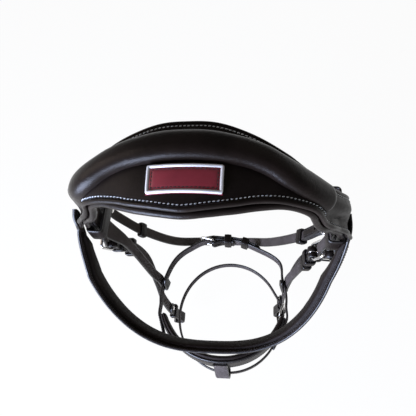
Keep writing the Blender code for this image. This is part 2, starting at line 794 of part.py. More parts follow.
def badge_rows(half_length, half_width, inset, height):
    """Pairs of points round the plate's border, outer and inner, following the crown."""
    corners = []
    steps = 8
    for k in range(steps):
        corners.append((-half_length + 2 * half_length * k / steps, -half_width))
    corners.append((half_length, -half_width))
    for k in range(steps):
        corners.append((half_length - 2 * half_length * k / steps, half_width))
    corners.append((-half_length, half_width))
    corners.append((-half_length, -half_width))
    rows = []
    for s, across in corners:
        inner_s = math.copysign(min(abs(s), half_length - inset), s)
        inner_y = math.copysign(half_width - inset, across)
        rows.append([
            crown_point(s, BADGE_MIDDLE + across, height),
            crown_point(inner_s, BADGE_MIDDLE + inner_y, height),
        ])
    return rows


def badge():
    """The name plate: a metal border with a coloured insert, both bent to the crown."""
    lift = GAP + 0.2 * MM
    rows = badge_rows(BADGE_LENGTH / 2, BADGE_WIDTH / 2, BADGE_BORDER, lift + BADGE_HEIGHT / 2)
    border = sheet("badge_border", rows, BADGE_HEIGHT, STEEL, closed=True)
    half_length = BADGE_LENGTH / 2 - BADGE_BORDER - GAP
    half_width = BADGE_WIDTH / 2 - BADGE_BORDER - GAP
    insert_rows = []
    for i in range(9):
        s = half_length * (2 * i / 8 - 1)
        insert_rows.append([
            crown_point(s, BADGE_MIDDLE + half_width * side, lift + BADGE_INSERT_HEIGHT / 2) for side in (-1, 0, 1)
        ])
    insert = sheet("badge_insert", insert_rows, BADGE_INSERT_HEIGHT, RED)
    return [border, insert]


def tab_point(s, side, y):
    """A point of a tab's middle surface, inside the crown's leather at a length along the arch."""
    point, normal = arch(s * side)
    inside = CROWN_LEATHER + TAB_ROOM + TAB_THICKNESS / 2
    return settled(Vector((point.x, y, point.z)) - normal * inside)


def crown_tab(name, side):
    """The wide tab under the end of the crown, from which the straps hang."""
    top, bottom = CROWN_HALF - TAB_UNDER_CROWN, CROWN_HALF + TAB_LENGTH
    rows = []
    for k in range(5):
        s = top + (bottom - top) * k / 4
        rear = TAB_REAR_TOP + (TAB_REAR - TAB_REAR_TOP) * min(1.0, k / 3)
        rows.append([tab_point(s, side, TAB_FRONT + (rear - TAB_FRONT) * j / 2) for j in range(3)])
    return sheet(name, rows, TAB_THICKNESS, LEATHER)


# The browband


def brow_loop_middle():
    return arch(CROWN_HALF + BROW_LOOP_BELOW_CROWN)[0].z


def browband_loop(name, side):
    """A flat loop round the tab and the strap inside it, long enough to tilt on them."""
    inner = TAB_THICKNESS / 2 + BROW_LOOP_INSIDE + BROW_LOOP_LEATHER / 2
    outer = TAB_THICKNESS / 2 + RUNNER_GAP + BROW_LOOP_LEATHER / 2
    front = TAB_FRONT - BROW_LOOP_ROOM - BROW_LOOP_LEATHER / 2
    rear = TAB_REAR + BROW_LOOP_ROOM + BROW_LOOP_LEATHER / 2
    x = tab_x()
    corner = BROW_LOOP_CORNER
    outline = []
    for px, py, start in ((outer, rear, 0), (-inner, rear, 90), (-inner, front, 180), (outer, front, 270)):
        for k in range(3):
            angle = math.radians(start + 45 * k)
            cx = px - math.copysign(corner, px) + corner * math.cos(angle)
            cy = py - math.copysign(corner, py - (front + rear) / 2) + corner * math.sin(angle)
            outline.append(Vector(((x + cx) * side, cy, 0)))
    outline.append(outline[0])
    low = UP * (brow_loop_middle() - BROW_LOOP_HEIGHT / 2)
    high = UP * (brow_loop_middle() + BROW_LOOP_HEIGHT / 2)
    rows = [[settled(p + low), settled(p + high)] for p in outline]
    return sheet(name, rows, BROW_LOOP_LEATHER, LEATHER, closed=True)


def tab_x():
    return ARCH_HALF_SPAN + ARCH_FLARE[-1][1] - CROWN_LEATHER - TAB_ROOM - TAB_THICKNESS / 2


def brow_frame(angle, normal, across):
    """A point of the browband at an angle round its front, out from its middle line and across its width.

    It starts upright beside the loop and leans towards its tilted plane as it comes forward.
    """
    start_y = TAB_FRONT - BROW_LOOP_ROOM - BROW_LOOP_LEATHER - GAP
    half_span = tab_x() + BROW_OUTSIDE
    forward = BROW_DEPTH * math.cos(angle) ** 1.15
    flat = Vector((half_span * math.copysign(abs(math.sin(angle)) ** BROW_FULLNESS, angle), -forward, 0))
    ahead = Vector((half_span * math.cos(angle), BROW_DEPTH * math.sin(angle), 0))
    if abs(angle) > math.radians(89.9):
        ahead = Vector((0, math.copysign(1, angle), 0))
    out = Vector((ahead.y, -ahead.x, 0)).normalized()
    share = min(1.0, forward / (BROW_DEPTH * 0.3))
    tilt = Matrix.Rotation(BROW_TILT, 3, "X")
    stand = Matrix.Rotation(BROW_LEAN * share, 3, "X") @ UP
    place = tilt @ flat + Matrix.Rotation(BROW_TILT * share, 3, "X") @ (out * normal) + stand * across
    place = place + Vector((0, start_y, brow_loop_middle()))
    return settled(place).lerp(place, share)


def brow_angles(count):
    return [math.radians(-90 + 180 * k / count) for k in range(count + 1)]


def browband_leather():
    rows = [
        [brow_frame(a, BROW_LEATHER / 2, -BROW_WIDTH / 2), brow_frame(a, BROW_LEATHER / 2, BROW_WIDTH / 2)]
        for a in brow_angles(26)
    ]
    return sheet("browband_leather", rows, BROW_LEATHER, LEATHER)


def browband_padding():
    """A soft pad inside the band, full in the middle of its width."""
    face = 2 * GAP
    rings = []
    for angle in brow_angles(26):
        taper = min(1.0, (math.pi / 2 - abs(angle)) / 0.12 + 0.45)
        half = (BROW_WIDTH / 2 + 1.5 * MM) * (0.8 + 0.2 * taper)
        ring = [brow_frame(angle, -face, -half * 0.92), brow_frame(angle, -face, half * 0.92)]
        for k in range(7):
            turn = math.pi * k / 6
            depth = BROW_PAD * taper * (0.25 + 0.75 * math.sin(turn))
            ring.append(brow_frame(angle, -face - depth, half * math.cos(turn)))
        rings.append(ring)
    return loft("browband_padding", rings, PADDING)


def make_crown():
    pieces = [crown_cover(), crown_padding(), crown_roll()]
    pieces += [crown_piping("crown_front_piping", "front"), crown_piping("crown_rear_piping", "rear")]
    pieces += badge()
    pieces += [crown_tab("crown_tab_left", -1), crown_tab("crown_tab_right", 1)]
    return pieces


def make_browband():
    middle = Vector((0, (TAB_FRONT + TAB_REAR) / 2, brow_loop_middle()))
    swing = pivot("browband_swing", middle, (1, 0, 0))
    pieces = [browband_leather(), browband_padding()]
    pieces += [browband_loop("browband_loop_left", -1), browband_loop("browband_loop_right", 1)]
    hang(pieces, swing)


# The straps that hang from the tabs


def buckle_set(prefix, suffix, line, kind, buckle, parent, runner_at, fixed_at=None):
    """Frame, tongue, fixed keeper and runner of one buckle, with their joints."""
    frame = buckle_frame(f"{prefix}_buckle{suffix}", line, kind, buckle)
    hang([frame], parent)
    bar, axis = buckle_axis(line, kind, buckle)
    hinge = pivot(f"{prefix}_tongue_hinge{suffix}", bar, axis, parent)
    hang([tongue(f"{prefix}_tongue{suffix}", line, kind, buckle)], hinge)
    if fixed_at is not None:
        hang([keeper(f"{prefix}_keeper{suffix}", line, kind, buckle + fixed_at, 1, 1)], parent)
    if runner_at is not None:
        place = buckle + runner_at
        slide = pivot(f"{prefix}_runner_slide{suffix}", line.place(place), line.frame(place)[1], parent)
        hang([keeper(f"{prefix}_runner{suffix}", line, kind, place, 0, 1, RUNNER_GAP)], slide)


def cheek_stations(line, kind):
    """Folded round the buckle, down the cheek, round the bit's loop and back up inside."""
    down = line.length
    stations = chape_stations(kind, CHEEK_BUCKLE)
    stations += spread(CHEEK_BUCKLE + CHAPE_LENGTH, CHEEK_BILLET, 12) + spread(CHEEK_BILLET + 12 * MM, down - BIT_RETURN, 6)
    stations += spread(down - BIT_RETURN + 12 * MM, down - 3 * BIT_LOOP_RADIUS, 2)
    inner = -(kind["leather"] + GAP)
    middle = inner / 2
    stations.append((down - 2 * BIT_LOOP_RADIUS, 0.2 * BIT_LOOP_RADIUS))
    steps = 8
    for k in range(steps + 1):
        angle = math.radians(20 + 140 * k / steps - 90)
        stations.append((down + BIT_LOOP_RADIUS * (math.cos(angle) - 0.35), middle - BIT_LOOP_RADIUS * math.sin(angle)))
    stations.append((down - 2 * BIT_LOOP_RADIUS, inner - 0.2 * BIT_LOOP_RADIUS))
    stations += spread(down - 3 * BIT_LOOP_RADIUS, down - BIT_RETURN, 3, lambda s: inner)
    return stations


def make_cheek(side):
    suffix = "_right" if side > 0 else "_left"
    line = smooth_line(CHEEK_TOP + (CHEEK_RIGHT if side > 0 else CHEEK_LEFT), side, (0, side, 0))
    kind = CHEEK
    swing = pivot("cheek_swing" + suffix, line.place(0.0), line.frame(0.0)[0])
    top = billet("cheek_billet" + suffix, line, kind, CHEEK_BUCKLE, CHEEK_BILLET)
    body = strap("cheek_strap" + suffix, line, cheek_stations(line, kind), kind["width"], kind["leather"])
    cut(body, [tongue_slot(line, kind, CHEEK_BUCKLE)])
    loops = keeper("cheek_bit_keeper" + suffix, line, kind, line.length - 3 * BIT_LOOP_RADIUS - BIT_KEEPER_UP, 1, 0)
    hang([top, body, loops], swing)
    buckle_set("cheek", suffix, line, kind, CHEEK_BUCKLE, swing, CHEEK_RUNNER_AT, CHEEK_KEEPER_AT)
    inside = -1.5 * kind["leather"] - 2 * GAP
    hang([rivet_on("cheek_hook_stud" + suffix, line, line.length - BIT_RETURN + 8 * MM, inside)], swing)


def rivet_on(name, line, s, inside):
    """A low domed head standing on the inner face of a strap."""
    _, _, outward = line.frame(s)
    work = bmesh.new()
    bmesh.ops.create_cone(
        work, cap_ends=True, segments=12, radius1=STUD_RADIUS, radius2=STUD_RADIUS * 0.6, depth=STUD_HEIGHT
    )
    made = add_object(name, smooth_shaded(mesh_from(name, work)), STEEL)
    place = line.place(s) + outward * (inside - STUD_HEIGHT / 2)
    turn = (-outward).to_track_quat("Z", "Y").to_matrix().to_4x4()
    made.matrix_world = Matrix.Translation(place) @ turn
    return made


def hanger_end(line, start, count):
    """Down outside the ring's strap, under it and up inside."""
    kind = HANGER
    pitch = CHIN["leather"] / 2 + HANGER_ROOM + kind["leather"] / 2
    foot = line.length + CHIN["width"] / 2 + kind["leather"] / 2 + HANGER_SLACK
    stations = spread(start, line.length, count)
    steps = 6
    for k in range(steps + 1):
        angle = math.pi * k / steps
        stations.append((foot - pitch + pitch * math.sin(angle), -pitch + pitch * math.cos(angle)))
    stations += [(line.length, -2 * pitch), (line.length - 12 * MM, -2 * pitch)]
    return stations


def hanger_width(s):
    """Wide where it is sewn under the tab, narrowing to the width of the strap."""
    return eased([(HANGER_WIDE_UNTIL, HANGER_TOP_WIDTH), (HANGER_NARROW_FROM, HANGER["width"])], s)


def make_hangers():
    """Both noseband hangers and what is on them, one body."""
    kind = HANGER
    top_point = settled(Vector((0, HANGER_LINE[0][1], HANGER_LINE[1][2])) * MM)
    swing = pivot("hanger_swing", (0, top_point.y, top_point.z), (1, 0, 0))
    slant = math.atan2(HANGER_LINE[-1][1] - RING_CENTRE[1] / MM, RING_HALF_DEPTH / MM)
    left = smooth_line(HANGER_LINE, -1, (0, -1, 0), (-math.sin(slant), -math.cos(slant), 0))
    right = smooth_line(HANGER_LINE, 1, (0, 1, 0), (-math.sin(slant), math.cos(slant), 0))
    hanger = strap("hanger_left", left, hanger_end(left, 0.0, 18), hanger_width, kind["leather"])
    top = billet("hanger_billet", right, kind, HANGER_BUCKLE, HANGER_BILLET)
    stations = chape_stations(kind, HANGER_BUCKLE) + hanger_end(right, HANGER_BUCKLE + CHAPE_LENGTH, 8)
    lower = strap("hanger_right", right, stations, kind["width"], kind["leather"])
    cut(lower, [tongue_slot(right, kind, HANGER_BUCKLE)])
    hang([hanger, top, lower], swing)
    buckle_set("hanger", "", right, kind, HANGER_BUCKLE, swing, HANGER_RUNNER_AT, KEEPER_AT)
    return swing


def make_throat():
    """The throatlatch: sewn and riveted to the left tab, and buckled to a billet on the right one."""
    kind = THROAT
    line = smooth_line(THROAT_LINE, 1, (0, 1, 0), mirrored_after=True)
    back = Line(list(reversed(line.points)), (0, -1, 0))
    swing = pivot("throat_swing", (0, THROAT_LINE[0][1] * MM, THROAT_LINE[0][2] * MM), (1, 0, 0))
    stations = chape_stations(kind, THROAT_BUCKLE)
    stations += spread(THROAT_BUCKLE + CHAPE_LENGTH, line.length - 2 * GAP, 44)
    body = strap("throat_strap", line, stations, kind["width"], kind["leather"], round_end=False)
    cut(body, [tongue_slot(line, kind, THROAT_BUCKLE)])
    top = billet("throat_billet", line, kind, THROAT_BUCKLE, THROAT_BILLET)
    hold = keeper("throat_keeper", back, kind, THROAT_KEEPER, 0, 0, RUNNER_GAP)
    rivet = rivet_on("throat_rivet", back, 5 * MM, -kind["leather"] / 2 - 2 * GAP)
    hang([body, top, hold, rivet], swing)
    buckle_set("throat", "", line, kind, THROAT_BUCKLE, swing, THROAT_RUNNER_AT)


# The noseband and its flash strap


def nose_point(angle, normal, across):
    """A point of the nose piece: the angle is 0 at the front and positive to the left."""
    half_width, half_depth = RING_HALF_WIDTH + normal, RING_HALF_DEPTH + normal
    y = -half_depth * math.cos(angle)
    point = Vector(RING_CENTRE) + Vector((-half_width * math.sin(angle), y, RING_SLOPE * y))
    return point + UP * across


def nose_half_height(angle):
    share = math.cos(angle / NOSE_HALF_ANGLE * math.pi / 2) ** 1.3
    return (NOSE_SIDE_HEIGHT + (NOSE_HEIGHT - NOSE_SIDE_HEIGHT) * share) / 2


def make_nose(parent):
    count = 24
    angles = [NOSE_HALF_ANGLE * (2 * k / count - 1) for k in range(count + 1)]
    rows = []
    for a in angles:
        half = nose_half_height(a)
        rows.append([nose_point(a, 0.0, -half), nose_point(a, 0.0, half)])
    leather = sheet("nose_leather", rows, NOSE_LEATHER, LEATHER)
    rings = []
    for a in angles:
        half = nose_half_height(a) + 2 * MM
        taper = 0.5 + 0.5 * math.cos(a / NOSE_HALF_ANGLE * math.pi / 2) ** 0.5
        face = -NOSE_LEATHER / 2 - GAP
        ring = [nose_point(a, face, -half * 0.92), nose_point(a, face, half * 0.92)]
        for k in range(7):
            turn = math.pi * k / 6
            depth = NOSE_PAD * taper * (0.3 + 0.7 * math.sin(turn))
            ring.append(nose_point(a, face - depth, half * math.cos(turn)))
        rings.append(ring)
    padding = loft("nose_padding", rings, PADDING)
    hang([leather, padding], parent)


def length_at(line, centre, angle_from_front):
    """The length along a ring line nearest an angle round it."""
    def gap(k):
        p = line.points[k] - Vector(centre)
        angle = math.atan2(-p.x / line.half_width, -p.y / line.half_depth) % (2 * math.pi)
        return abs((angle - angle_from_front + math.pi) % (2 * math.pi) - math.pi)
    return line.lengths[min(range(len(line.points)), key=gap)]


def make_chin(parent):
    """The back strap: a billet from the left end of the nose piece, through a buckle on the right one."""
    kind = CHIN
    start = NOSE_HALF_ANGLE - 0.02
    turn = 2 * math.pi - 2 * start
    line = ring_line(RING_CENTRE, RING_HALF_WIDTH, RING_HALF_DEPTH, RING_SLOPE, start, turn, RING_FULLER)
    line.half_width, line.half_depth = RING_HALF_WIDTH, RING_HALF_DEPTH
    buckle = length_at(line, RING_CENTRE, CHIN_BUCKLE_ANGLE)
    stop = buckle + CHIN_BILLET_PAST
    lap = NOSE_LEATHER / 2 + GAP + kind["leather"] / 2
    offset = billet_offset(kind, buckle)
    near = billet_stations(kind, buckle, stop, CHIN_SETTLE, offset)
    plain = near[1][0] - CHIN_SETTLE
    along = math.ceil(plain / SEGMENT)
    stations = [(-CHIN_LAP, lap), (-CHIN_LAP / 2, lap), (0.0, lap), (CHIN_BEND, lap)]
    stations += [(CHIN_SETTLE + plain * k / along, 0.0) for k in range(along)] + near[1:]
    top = strap("chin_billet", line, stations, kind["width"], kind["leather"])
    cut(top, billet_holes(line, kind, buckle, stop, offset))
    end = line.length
    stations = chape_stations(kind, buckle) + spread(buckle + CHAPE_LENGTH, end - CHIN_SETTLE, 14)
    stations += [(end - CHIN_BEND, lap), (end, lap), (end + CHIN_LAP / 2, lap), (end + CHIN_LAP, lap)]
    lower = strap("chin_strap", line, stations, kind["width"], kind["leather"], round_end=False)
    cut(lower, [tongue_slot(line, kind, buckle)])
    hang([top, lower], parent)
    buckle_set("chin", "", line, kind, buckle, parent, CHIN_RUNNER_AT, KEEPER_AT)


def make_flash(parent):
    """One strap: from its buckle round the front, the left and the back, and through the buckle again."""
    kind = FLASH
    start = FLASH_BUCKLE_ANGLE - 2 * math.pi - FLASH_RUN_IN
    whole = FLASH_RUN_IN + 2 * math.pi + FLASH_RUN_OUT
    line = ring_line(FLASH_CENTRE, FLASH_HALF_WIDTH, FLASH_HALF_DEPTH, FLASH_SLOPE, start, whole)
    first = first_length(line, FLASH_RUN_IN, whole)
    buckle = first_length(line, FLASH_RUN_IN + 2 * math.pi, whole)
    through = billet_offset(kind, buckle)
    stop = buckle + FLASH_BILLET_PAST
    near = billet_stations(kind, buckle, stop, buckle - FLASH_BILLET_BEFORE, through)
    stations = chape_stations(kind, first)
    stations += spread(first + CHAPE_LENGTH, buckle - FLASH_PLAIN_BEFORE, 32) + near
    front = (FLASH_CENTRE[0], FLASH_CENTRE[1] - FLASH_HALF_DEPTH, FLASH_CENTRE[2] - FLASH_SLOPE * FLASH_HALF_DEPTH)
    swing = pivot("flash_swing", front, (1, 0, 0), parent)
    body = strap("flash_strap", line, stations, kind["width"], kind["leather"])
    cut(body, [tongue_slot(line, kind, first)], "slot")
    cut(body, billet_holes(line, kind, buckle, stop, through, 1))
    hang([body], swing)
    buckle_set("flash", "", line, kind, buckle, swing, None, KEEPER_AT)


def first_length(line, turned, whole):
    """The length of a ring line at an angle turned from its start."""
    return line.lengths[round((len(line.points) - 1) * turned / whole)]


def make_flash_tab(parent):
    """A loop sewn to the front of the nose piece, round the flash strap."""
    front = nose_point(0.0, NOSE_LEATHER / 2 + GAP + FLASH_TAB_LEATHER / 2, 0.0)
    strap_y = FLASH_CENTRE[1] - FLASH_HALF_DEPTH
    strap_z = FLASH_CENTRE[2] - FLASH_SLOPE * FLASH_HALF_DEPTH
    half_width = 9 * MM
    reach = FLASH["leather"] / 2 + FLASH_TAB_ROOM + FLASH_TAB_LEATHER / 2
    foot = strap_z - FLASH["width"] / 2 - 3 * MM
    route = [(front.y, front.z + 12 * MM), (front.y, front.z), (strap_y - reach, foot + reach + 14 * MM)]
    for k in range(7):
        angle = math.pi * k / 6
        route.append((strap_y - reach * math.cos(angle), foot + reach - reach * math.sin(angle)))
    route.append((strap_y + reach, strap_z + FLASH["width"] / 2 + 2 * MM))
    rows = [[Vector((x, y, z)) for x in (-half_width, half_width)] for y, z in route]
    hang([sheet("flash_tab", rows, FLASH_TAB_LEATHER, LEATHER)], parent)


def make_noseband(hangers):
    nod = pivot("noseband_nod", (0, HANGER_LINE[-1][1] * MM, RING_CENTRE[2]), (1, 0, 0), hangers)
    make_nose(nod)
    make_chin(nod)
    make_flash_tab(nod)
    make_flash(nod)


def main():
    make_crown()
    make_browband()
    make_cheek(1)
    make_cheek(-1)
    make_throat()
    make_noseband(make_hangers())


main()
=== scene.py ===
"""Looks of the horse bridle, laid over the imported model.

Metres, +Z up, the wearer's nose towards -Y. Straps, pads and metal follow the lines of the solids they
stand for, but for some millimetres at the crown's edges, the roll, the plate and the browband, and have
the rounded edges, creases, seams and stitches of the real leather.
"""

import bisect
import functools
import math

import bmesh
import bpy
from mathutils import Matrix, Vector


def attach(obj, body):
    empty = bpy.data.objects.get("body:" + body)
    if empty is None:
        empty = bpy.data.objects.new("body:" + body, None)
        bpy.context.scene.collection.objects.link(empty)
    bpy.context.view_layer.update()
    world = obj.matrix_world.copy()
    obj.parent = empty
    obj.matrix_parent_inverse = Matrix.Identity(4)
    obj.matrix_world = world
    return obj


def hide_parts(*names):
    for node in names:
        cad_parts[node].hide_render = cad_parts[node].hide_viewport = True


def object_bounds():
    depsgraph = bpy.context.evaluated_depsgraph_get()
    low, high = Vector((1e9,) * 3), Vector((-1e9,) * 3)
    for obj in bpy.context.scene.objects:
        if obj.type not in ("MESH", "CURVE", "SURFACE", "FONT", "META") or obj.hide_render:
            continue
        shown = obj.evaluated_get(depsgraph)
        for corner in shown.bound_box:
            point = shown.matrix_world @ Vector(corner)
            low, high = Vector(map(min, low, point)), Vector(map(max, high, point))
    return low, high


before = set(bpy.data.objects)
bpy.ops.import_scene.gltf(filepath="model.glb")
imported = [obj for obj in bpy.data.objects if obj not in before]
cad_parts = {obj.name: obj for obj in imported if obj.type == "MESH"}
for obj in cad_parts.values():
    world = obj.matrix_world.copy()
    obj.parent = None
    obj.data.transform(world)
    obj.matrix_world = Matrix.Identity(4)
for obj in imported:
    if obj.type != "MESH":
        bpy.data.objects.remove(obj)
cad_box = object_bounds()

MM = 0.001
UP = Vector((0, 0, 1))

# Clearances between pieces that touch on the real bridle
GAP = 0.3 * MM
RUNNER_GAP = 0.8 * MM

# Crown: an arch of leather over a pad, with a stuffed roll along its crest
ARCH_HALF_SPAN = 118.5 * MM
ARCH_RISE = 79.6 * MM
ARCH_LEG = 30 * MM
ARCH_FLARE = [(70 * MM, 0.0), (118 * MM, -4.5 * MM), (165 * MM, 1.5 * MM)]
CROWN_LEATHER = 3 * MM
PAD_THICKNESS = 7 * MM
PAD_PROUD = 6 * MM
PAD_SHORT_OF_LEATHER = 20 * MM
CROWN_CAMBER = 4 * MM
ROLL_HALF_WIDTH = 12.8 * MM
ROLL_HEIGHT = 9 * MM
ROLL_HALF_LENGTH = 122 * MM
ROLL_SEAT = 0.8 * MM
SEAT_HALF_LENGTH = 10 * MM
SEAT_HALF_WIDTH = 14 * MM
# Outline of the crown's leather, and the line under the roll's middle, in millimetres: distance along the
# arch from its middle, where the last one is the piece's end, and place across it
CROWN_FRONT = [
    (0, -39), (19, -36.6), (35, -32.4), (51, -28), (63, -25.6), (80, -24), (107, -22), (130, -15),
    (155, -6), (170, -2), (188, -1),
]
CROWN_REAR = [
    (0, 27), (15, 26.4), (29, 24), (44, 19.5), (59, 14), (75, 8), (91, 4), (111, 3), (135, 5), (165, 13),
    (188, 20),
]
ROLL_LINE = [(0, 7.2), (40, 5), (57, 1), (71, -4.5), (85, -8.1), (97, -9.1), (122, -8.9)]
CROWN_CORNER = 5 * MM
# The crown's two rows of stitches and its pad's front edge, given the same way. The leather ends one
# stitch inset outside the rows, and so a little off the outline above.
FRONT_ROW = [
    (0, -38.1), (10, -37), (20, -35.2), (30, -33.2), (40, -30.9), (50, -28), (60, -25.7), (70, -23.9),
    (85, -22.4), (97, -21.2), (107, -20.6), (130, -20), (150, -15), (170, -9.5), (188, -6),
]
REAR_ROW = [
    (0, 27.2), (15, 26.6), (29, 24.2), (44, 19.7), (59, 14.2), (75, 7.6), (91, 1.5), (107, -1), (122, -1),
    (135, 2), (165, 12), (188, 19),
]
PAD_EDGE = [
    (0, -45), (20, -42.6), (30, -40.6), (40, -38.4), (50, -35.5), (60, -32.6), (70, -29.8), (80, -28),
    (91, -27), (107, -26.4), (130, -26), (150, -21), (170, -15.5), (188, -12),
]
# How far the pad's own profile stays inside that edge, where its bead lies
PAD_INSIDE_EDGE = 1.2 * MM
# How far it stands out past the rear row, by distance along the arch
PAD_REAR_PROUD = [(105 * MM, PAD_PROUD), (150 * MM, 1 * MM)]
PAD_END_RADIUS = 5 * MM
# How far the front edge turns in towards the ends of the crown
END_TURN = [(95 * MM, 0.0), (130 * MM, 6 * MM), (150 * MM, 7 * MM), (172 * MM, 1 * MM), (188 * MM, -2 * MM)]
# How far the rear edge stands up again behind the roll
REAR_LIFT = [(0, 2 * MM), (25 * MM, 3 * MM), (50 * MM, 3.2 * MM), (75 * MM, 2.6 * MM), (110 * MM, 0.0)]
# The roll lies a little to the left, and has a flat top between round shoulders
ROLL_SHIFT = -5 * MM
ROLL_FLATNESS = 0.72
# Its height, half width and end radius at the left end (-1), which is the fuller one, and at the right
ROLL_ENDS = {-1: (6.5 * MM, 12.8 * MM, 9 * MM), 1: (4.5 * MM, 10.8 * MM, 5 * MM)}
# The share of its half width that it keeps behind its middle line, by distance along the arch
ROLL_REAR = [(10 * MM, 1.0), (50 * MM, 0.8), (75 * MM, 0.85), (105 * MM, 1.0)]

# Plate on the crown's front slope, a little to the right
BADGE_LENGTH = 54 * MM
BADGE_WIDTH = 21.5 * MM
BADGE_MIDDLE = -19.7 * MM
BADGE_BORDER = 2.4 * MM
BADGE_HEIGHT = 2.6 * MM
BADGE_LIFT = GAP + 0.2 * MM
BADGE_SHIFT = 1.6 * MM
BADGE_BASE = 1.1 * MM
BADGE_CORNER = 1.6 * MM
# The insert's padded face: its height, its row of stitches and the channel that they lie in, and how its
# edge falls away
INSERT_FACE = 1.85 * MM
INSERT_THREAD = 1.75 * MM
INSERT_ROW = 1.5 * MM
INSERT_CHANNEL = 0.25 * MM
INSERT_CHANNEL_WIDTH = 0.4 * MM
INSERT_ROUNDING = 0.35 * MM
INSERT_ROUNDING_WIDTH = 0.5 * MM
INSERT_INSETS = (0.5 * MM, 1.2 * MM, INSERT_ROW, 1.8 * MM, 2.6 * MM, 4 * MM, 5.5 * MM, 7 * MM)
# How much the insert's base bulges past its own upper and lower rims
INSERT_BULGE = 0.1 * MM

# The leather tab at each end of the crown
TAB_THICKNESS = 4 * MM
TAB_FRONT = -6 * MM
TAB_REAR = 39 * MM
TAB_REAR_TOP = 18 * MM
TAB_UNDER_CROWN = 14 * MM
TAB_LENGTH = 39 * MM
TAB_ROOM = 0.7 * MM
TAB_CORNER = 6 * MM

# Browband: a padded band in a tilted plane, with a loop round each tab
BROW_LOOP_HEIGHT = 18 * MM
BROW_LOOP_LEATHER = 2.4 * MM
BROW_LOOP_ROOM = 4 * MM
BROW_LOOP_BELOW_CROWN = 12 * MM
BROW_LOOP_INSIDE = 6.5 * MM
BROW_LOOP_CORNER = 3 * MM
BROW_WIDTH = 25 * MM
BROW_LEATHER = 2.6 * MM
BROW_DEPTH = 134 * MM
BROW_TILT = math.radians(57)
BROW_LEAN = math.radians(36)
BROW_OUTSIDE = 4.5 * MM
BROW_FULLNESS = 0.72
# How much further out the left side stands, by the angle round the band
BROW_SPREAD = [(math.radians(68), 0.0), (math.radians(90), 5 * MM)]
# Each end runs on past its loop, up outside the crown's end: the route of its upper edge on the left (-1)
# and on the right, in millimetres
BROW_ENDS = {
    -1: [(-126.4, -12.7, -98.8), (-125.7, -11.2, -91.5), (-126.6, -7, -85), (-125.5, -1, -79)],
    1: [(121.4, -12.7, -98.8), (123.1, -7.7, -95), (123.7, -0.6, -90), (122.5, 7, -84)],
}
BROW_END_WIDTH = 14 * MM
BROW_END_LEAN = math.radians(30)
BROW_END_STEPS = 24
# Profile of the browband's pad, from its sewn margin to its middle: place across, and depth, in millimetres
BROW_PROFILE = [
    (13.4, 0.3), (13.3, 0.8), (12.9, 1.2), (11.6, 1.3), (10.3, 1.2), (9.7, 0.9), (9.3, 1.2), (9.0, 2.2),
    (8.6, 3.4), (7.8, 4.4), (6.4, 5.0), (4.2, 5.3), (0, 5.5),
]
BROW_MARGIN_ROW = 11.4 * MM
BROW_MARGIN_DEPTH = 1.35 * MM

# Straps: width, thickness of the leather, radius of the buckle's wire
CHEEK = {"width": 16 * MM, "leather": 2.8 * MM, "wire": 1.5 * MM}
HANGER = {"width": 12 * MM, "leather": 2.4 * MM, "wire": 1.3 * MM}
THROAT = {"width": 11.5 * MM, "leather": 2.4 * MM, "wire": 1.3 * MM}
CHIN = {"width": 14 * MM, "leather": 2.6 * MM, "wire": 1.4 * MM}
FLASH = {"width": 10 * MM, "leather": 2.2 * MM, "wire": 1.2 * MM}

# Buckles and keepers, common to every strap
FRAME_LENGTH = 17 * MM
FOLD_ROOM = 0.6 * MM
FRAME_ROOM = 1 * MM
FRAME_CORNER = 3.5 * MM
FRAME_TILT = math.radians(23)
TONGUE_RADIUS = 1.1 * MM
TONGUE_PAST_BAR = 2.6 * MM
TONGUE_HOLE_BEFORE = 1.9 * MM
TONGUE_HOLE_AFTER = 7 * MM
HOLE_RADIUS = 1.8 * MM
HOLE_SPACING = 19 * MM
HOLE_COUNT = 3
CHAPE_LENGTH = 28 * MM
BILLET_SETTLE = 13 * MM
BILLET_RISE = 20 * MM
KEEPER_LEATHER = 1.8 * MM
KEEPER_LENGTH = 9 * MM
TIP_LENGTH = 9 * MM
KEEPER_ROOM = 0.5 * MM
SEGMENT = 9 * MM
# How far past its buckle's bar each keeper lies
CHEEK_KEEPER_AT = 20 * MM
KEEPER_AT = 19 * MM
CHEEK_RUNNER_AT = 58 * MM
HANGER_RUNNER_AT = 37.5 * MM
THROAT_RUNNER_AT = 40 * MM
CHIN_RUNNER_AT = 42 * MM

# Lines that the straps hang along, right side, in millimetres, top to bottom
CHEEK_TOP = [(114.4, 3, -139), (114.4, 3, -144), (116, 5, -157), (114.5, 11, -178), (108.5, 24, -215)]
# The bridle hangs a little twisted, so the left cheekpiece comes down further forward
CHEEK_RIGHT = [(98.5, 32, -275), (88, 29, -325), (82, 25, -370), (77, 20, -462)]
CHEEK_LEFT = [(99, 33, -275), (95, 21, -322), (93, 8, -370), (87, 6, -462)]
HANGER_LINE = [
    (110.4, 4, -94), (110.4, 4, -119), (107, 4, -135), (100, 5, -158), (95, 7, -195), (86, 10, -262),
    (81.7, 11.7, -290), (81.6, 11.7, -301),
]
THROAT_LINE = [
    (114.4, 32, -139), (114.4, 32, -149), (108, 32, -163), (92, 34, -192), (62, 54, -262), (31, 80, -321),
    (0, 90, -344),
]
CHEEK_BUCKLE = 27 * MM
CHEEK_BILLET = 158 * MM
HANGER_BUCKLE = 77 * MM
HANGER_BILLET = 123 * MM
HANGER_TOP_WIDTH = 19 * MM
HANGER_WIDE_UNTIL = 30 * MM
HANGER_NARROW_FROM = 75 * MM
HANGER_SEWN = (4 * MM, 24 * MM)
HANGER_SLACK = 6 * MM
HANGER_ROOM = 0.8 * MM
THROAT_BUCKLE = 26 * MM
THROAT_BILLET = 78 * MM
THROAT_KEEPER = 60 * MM
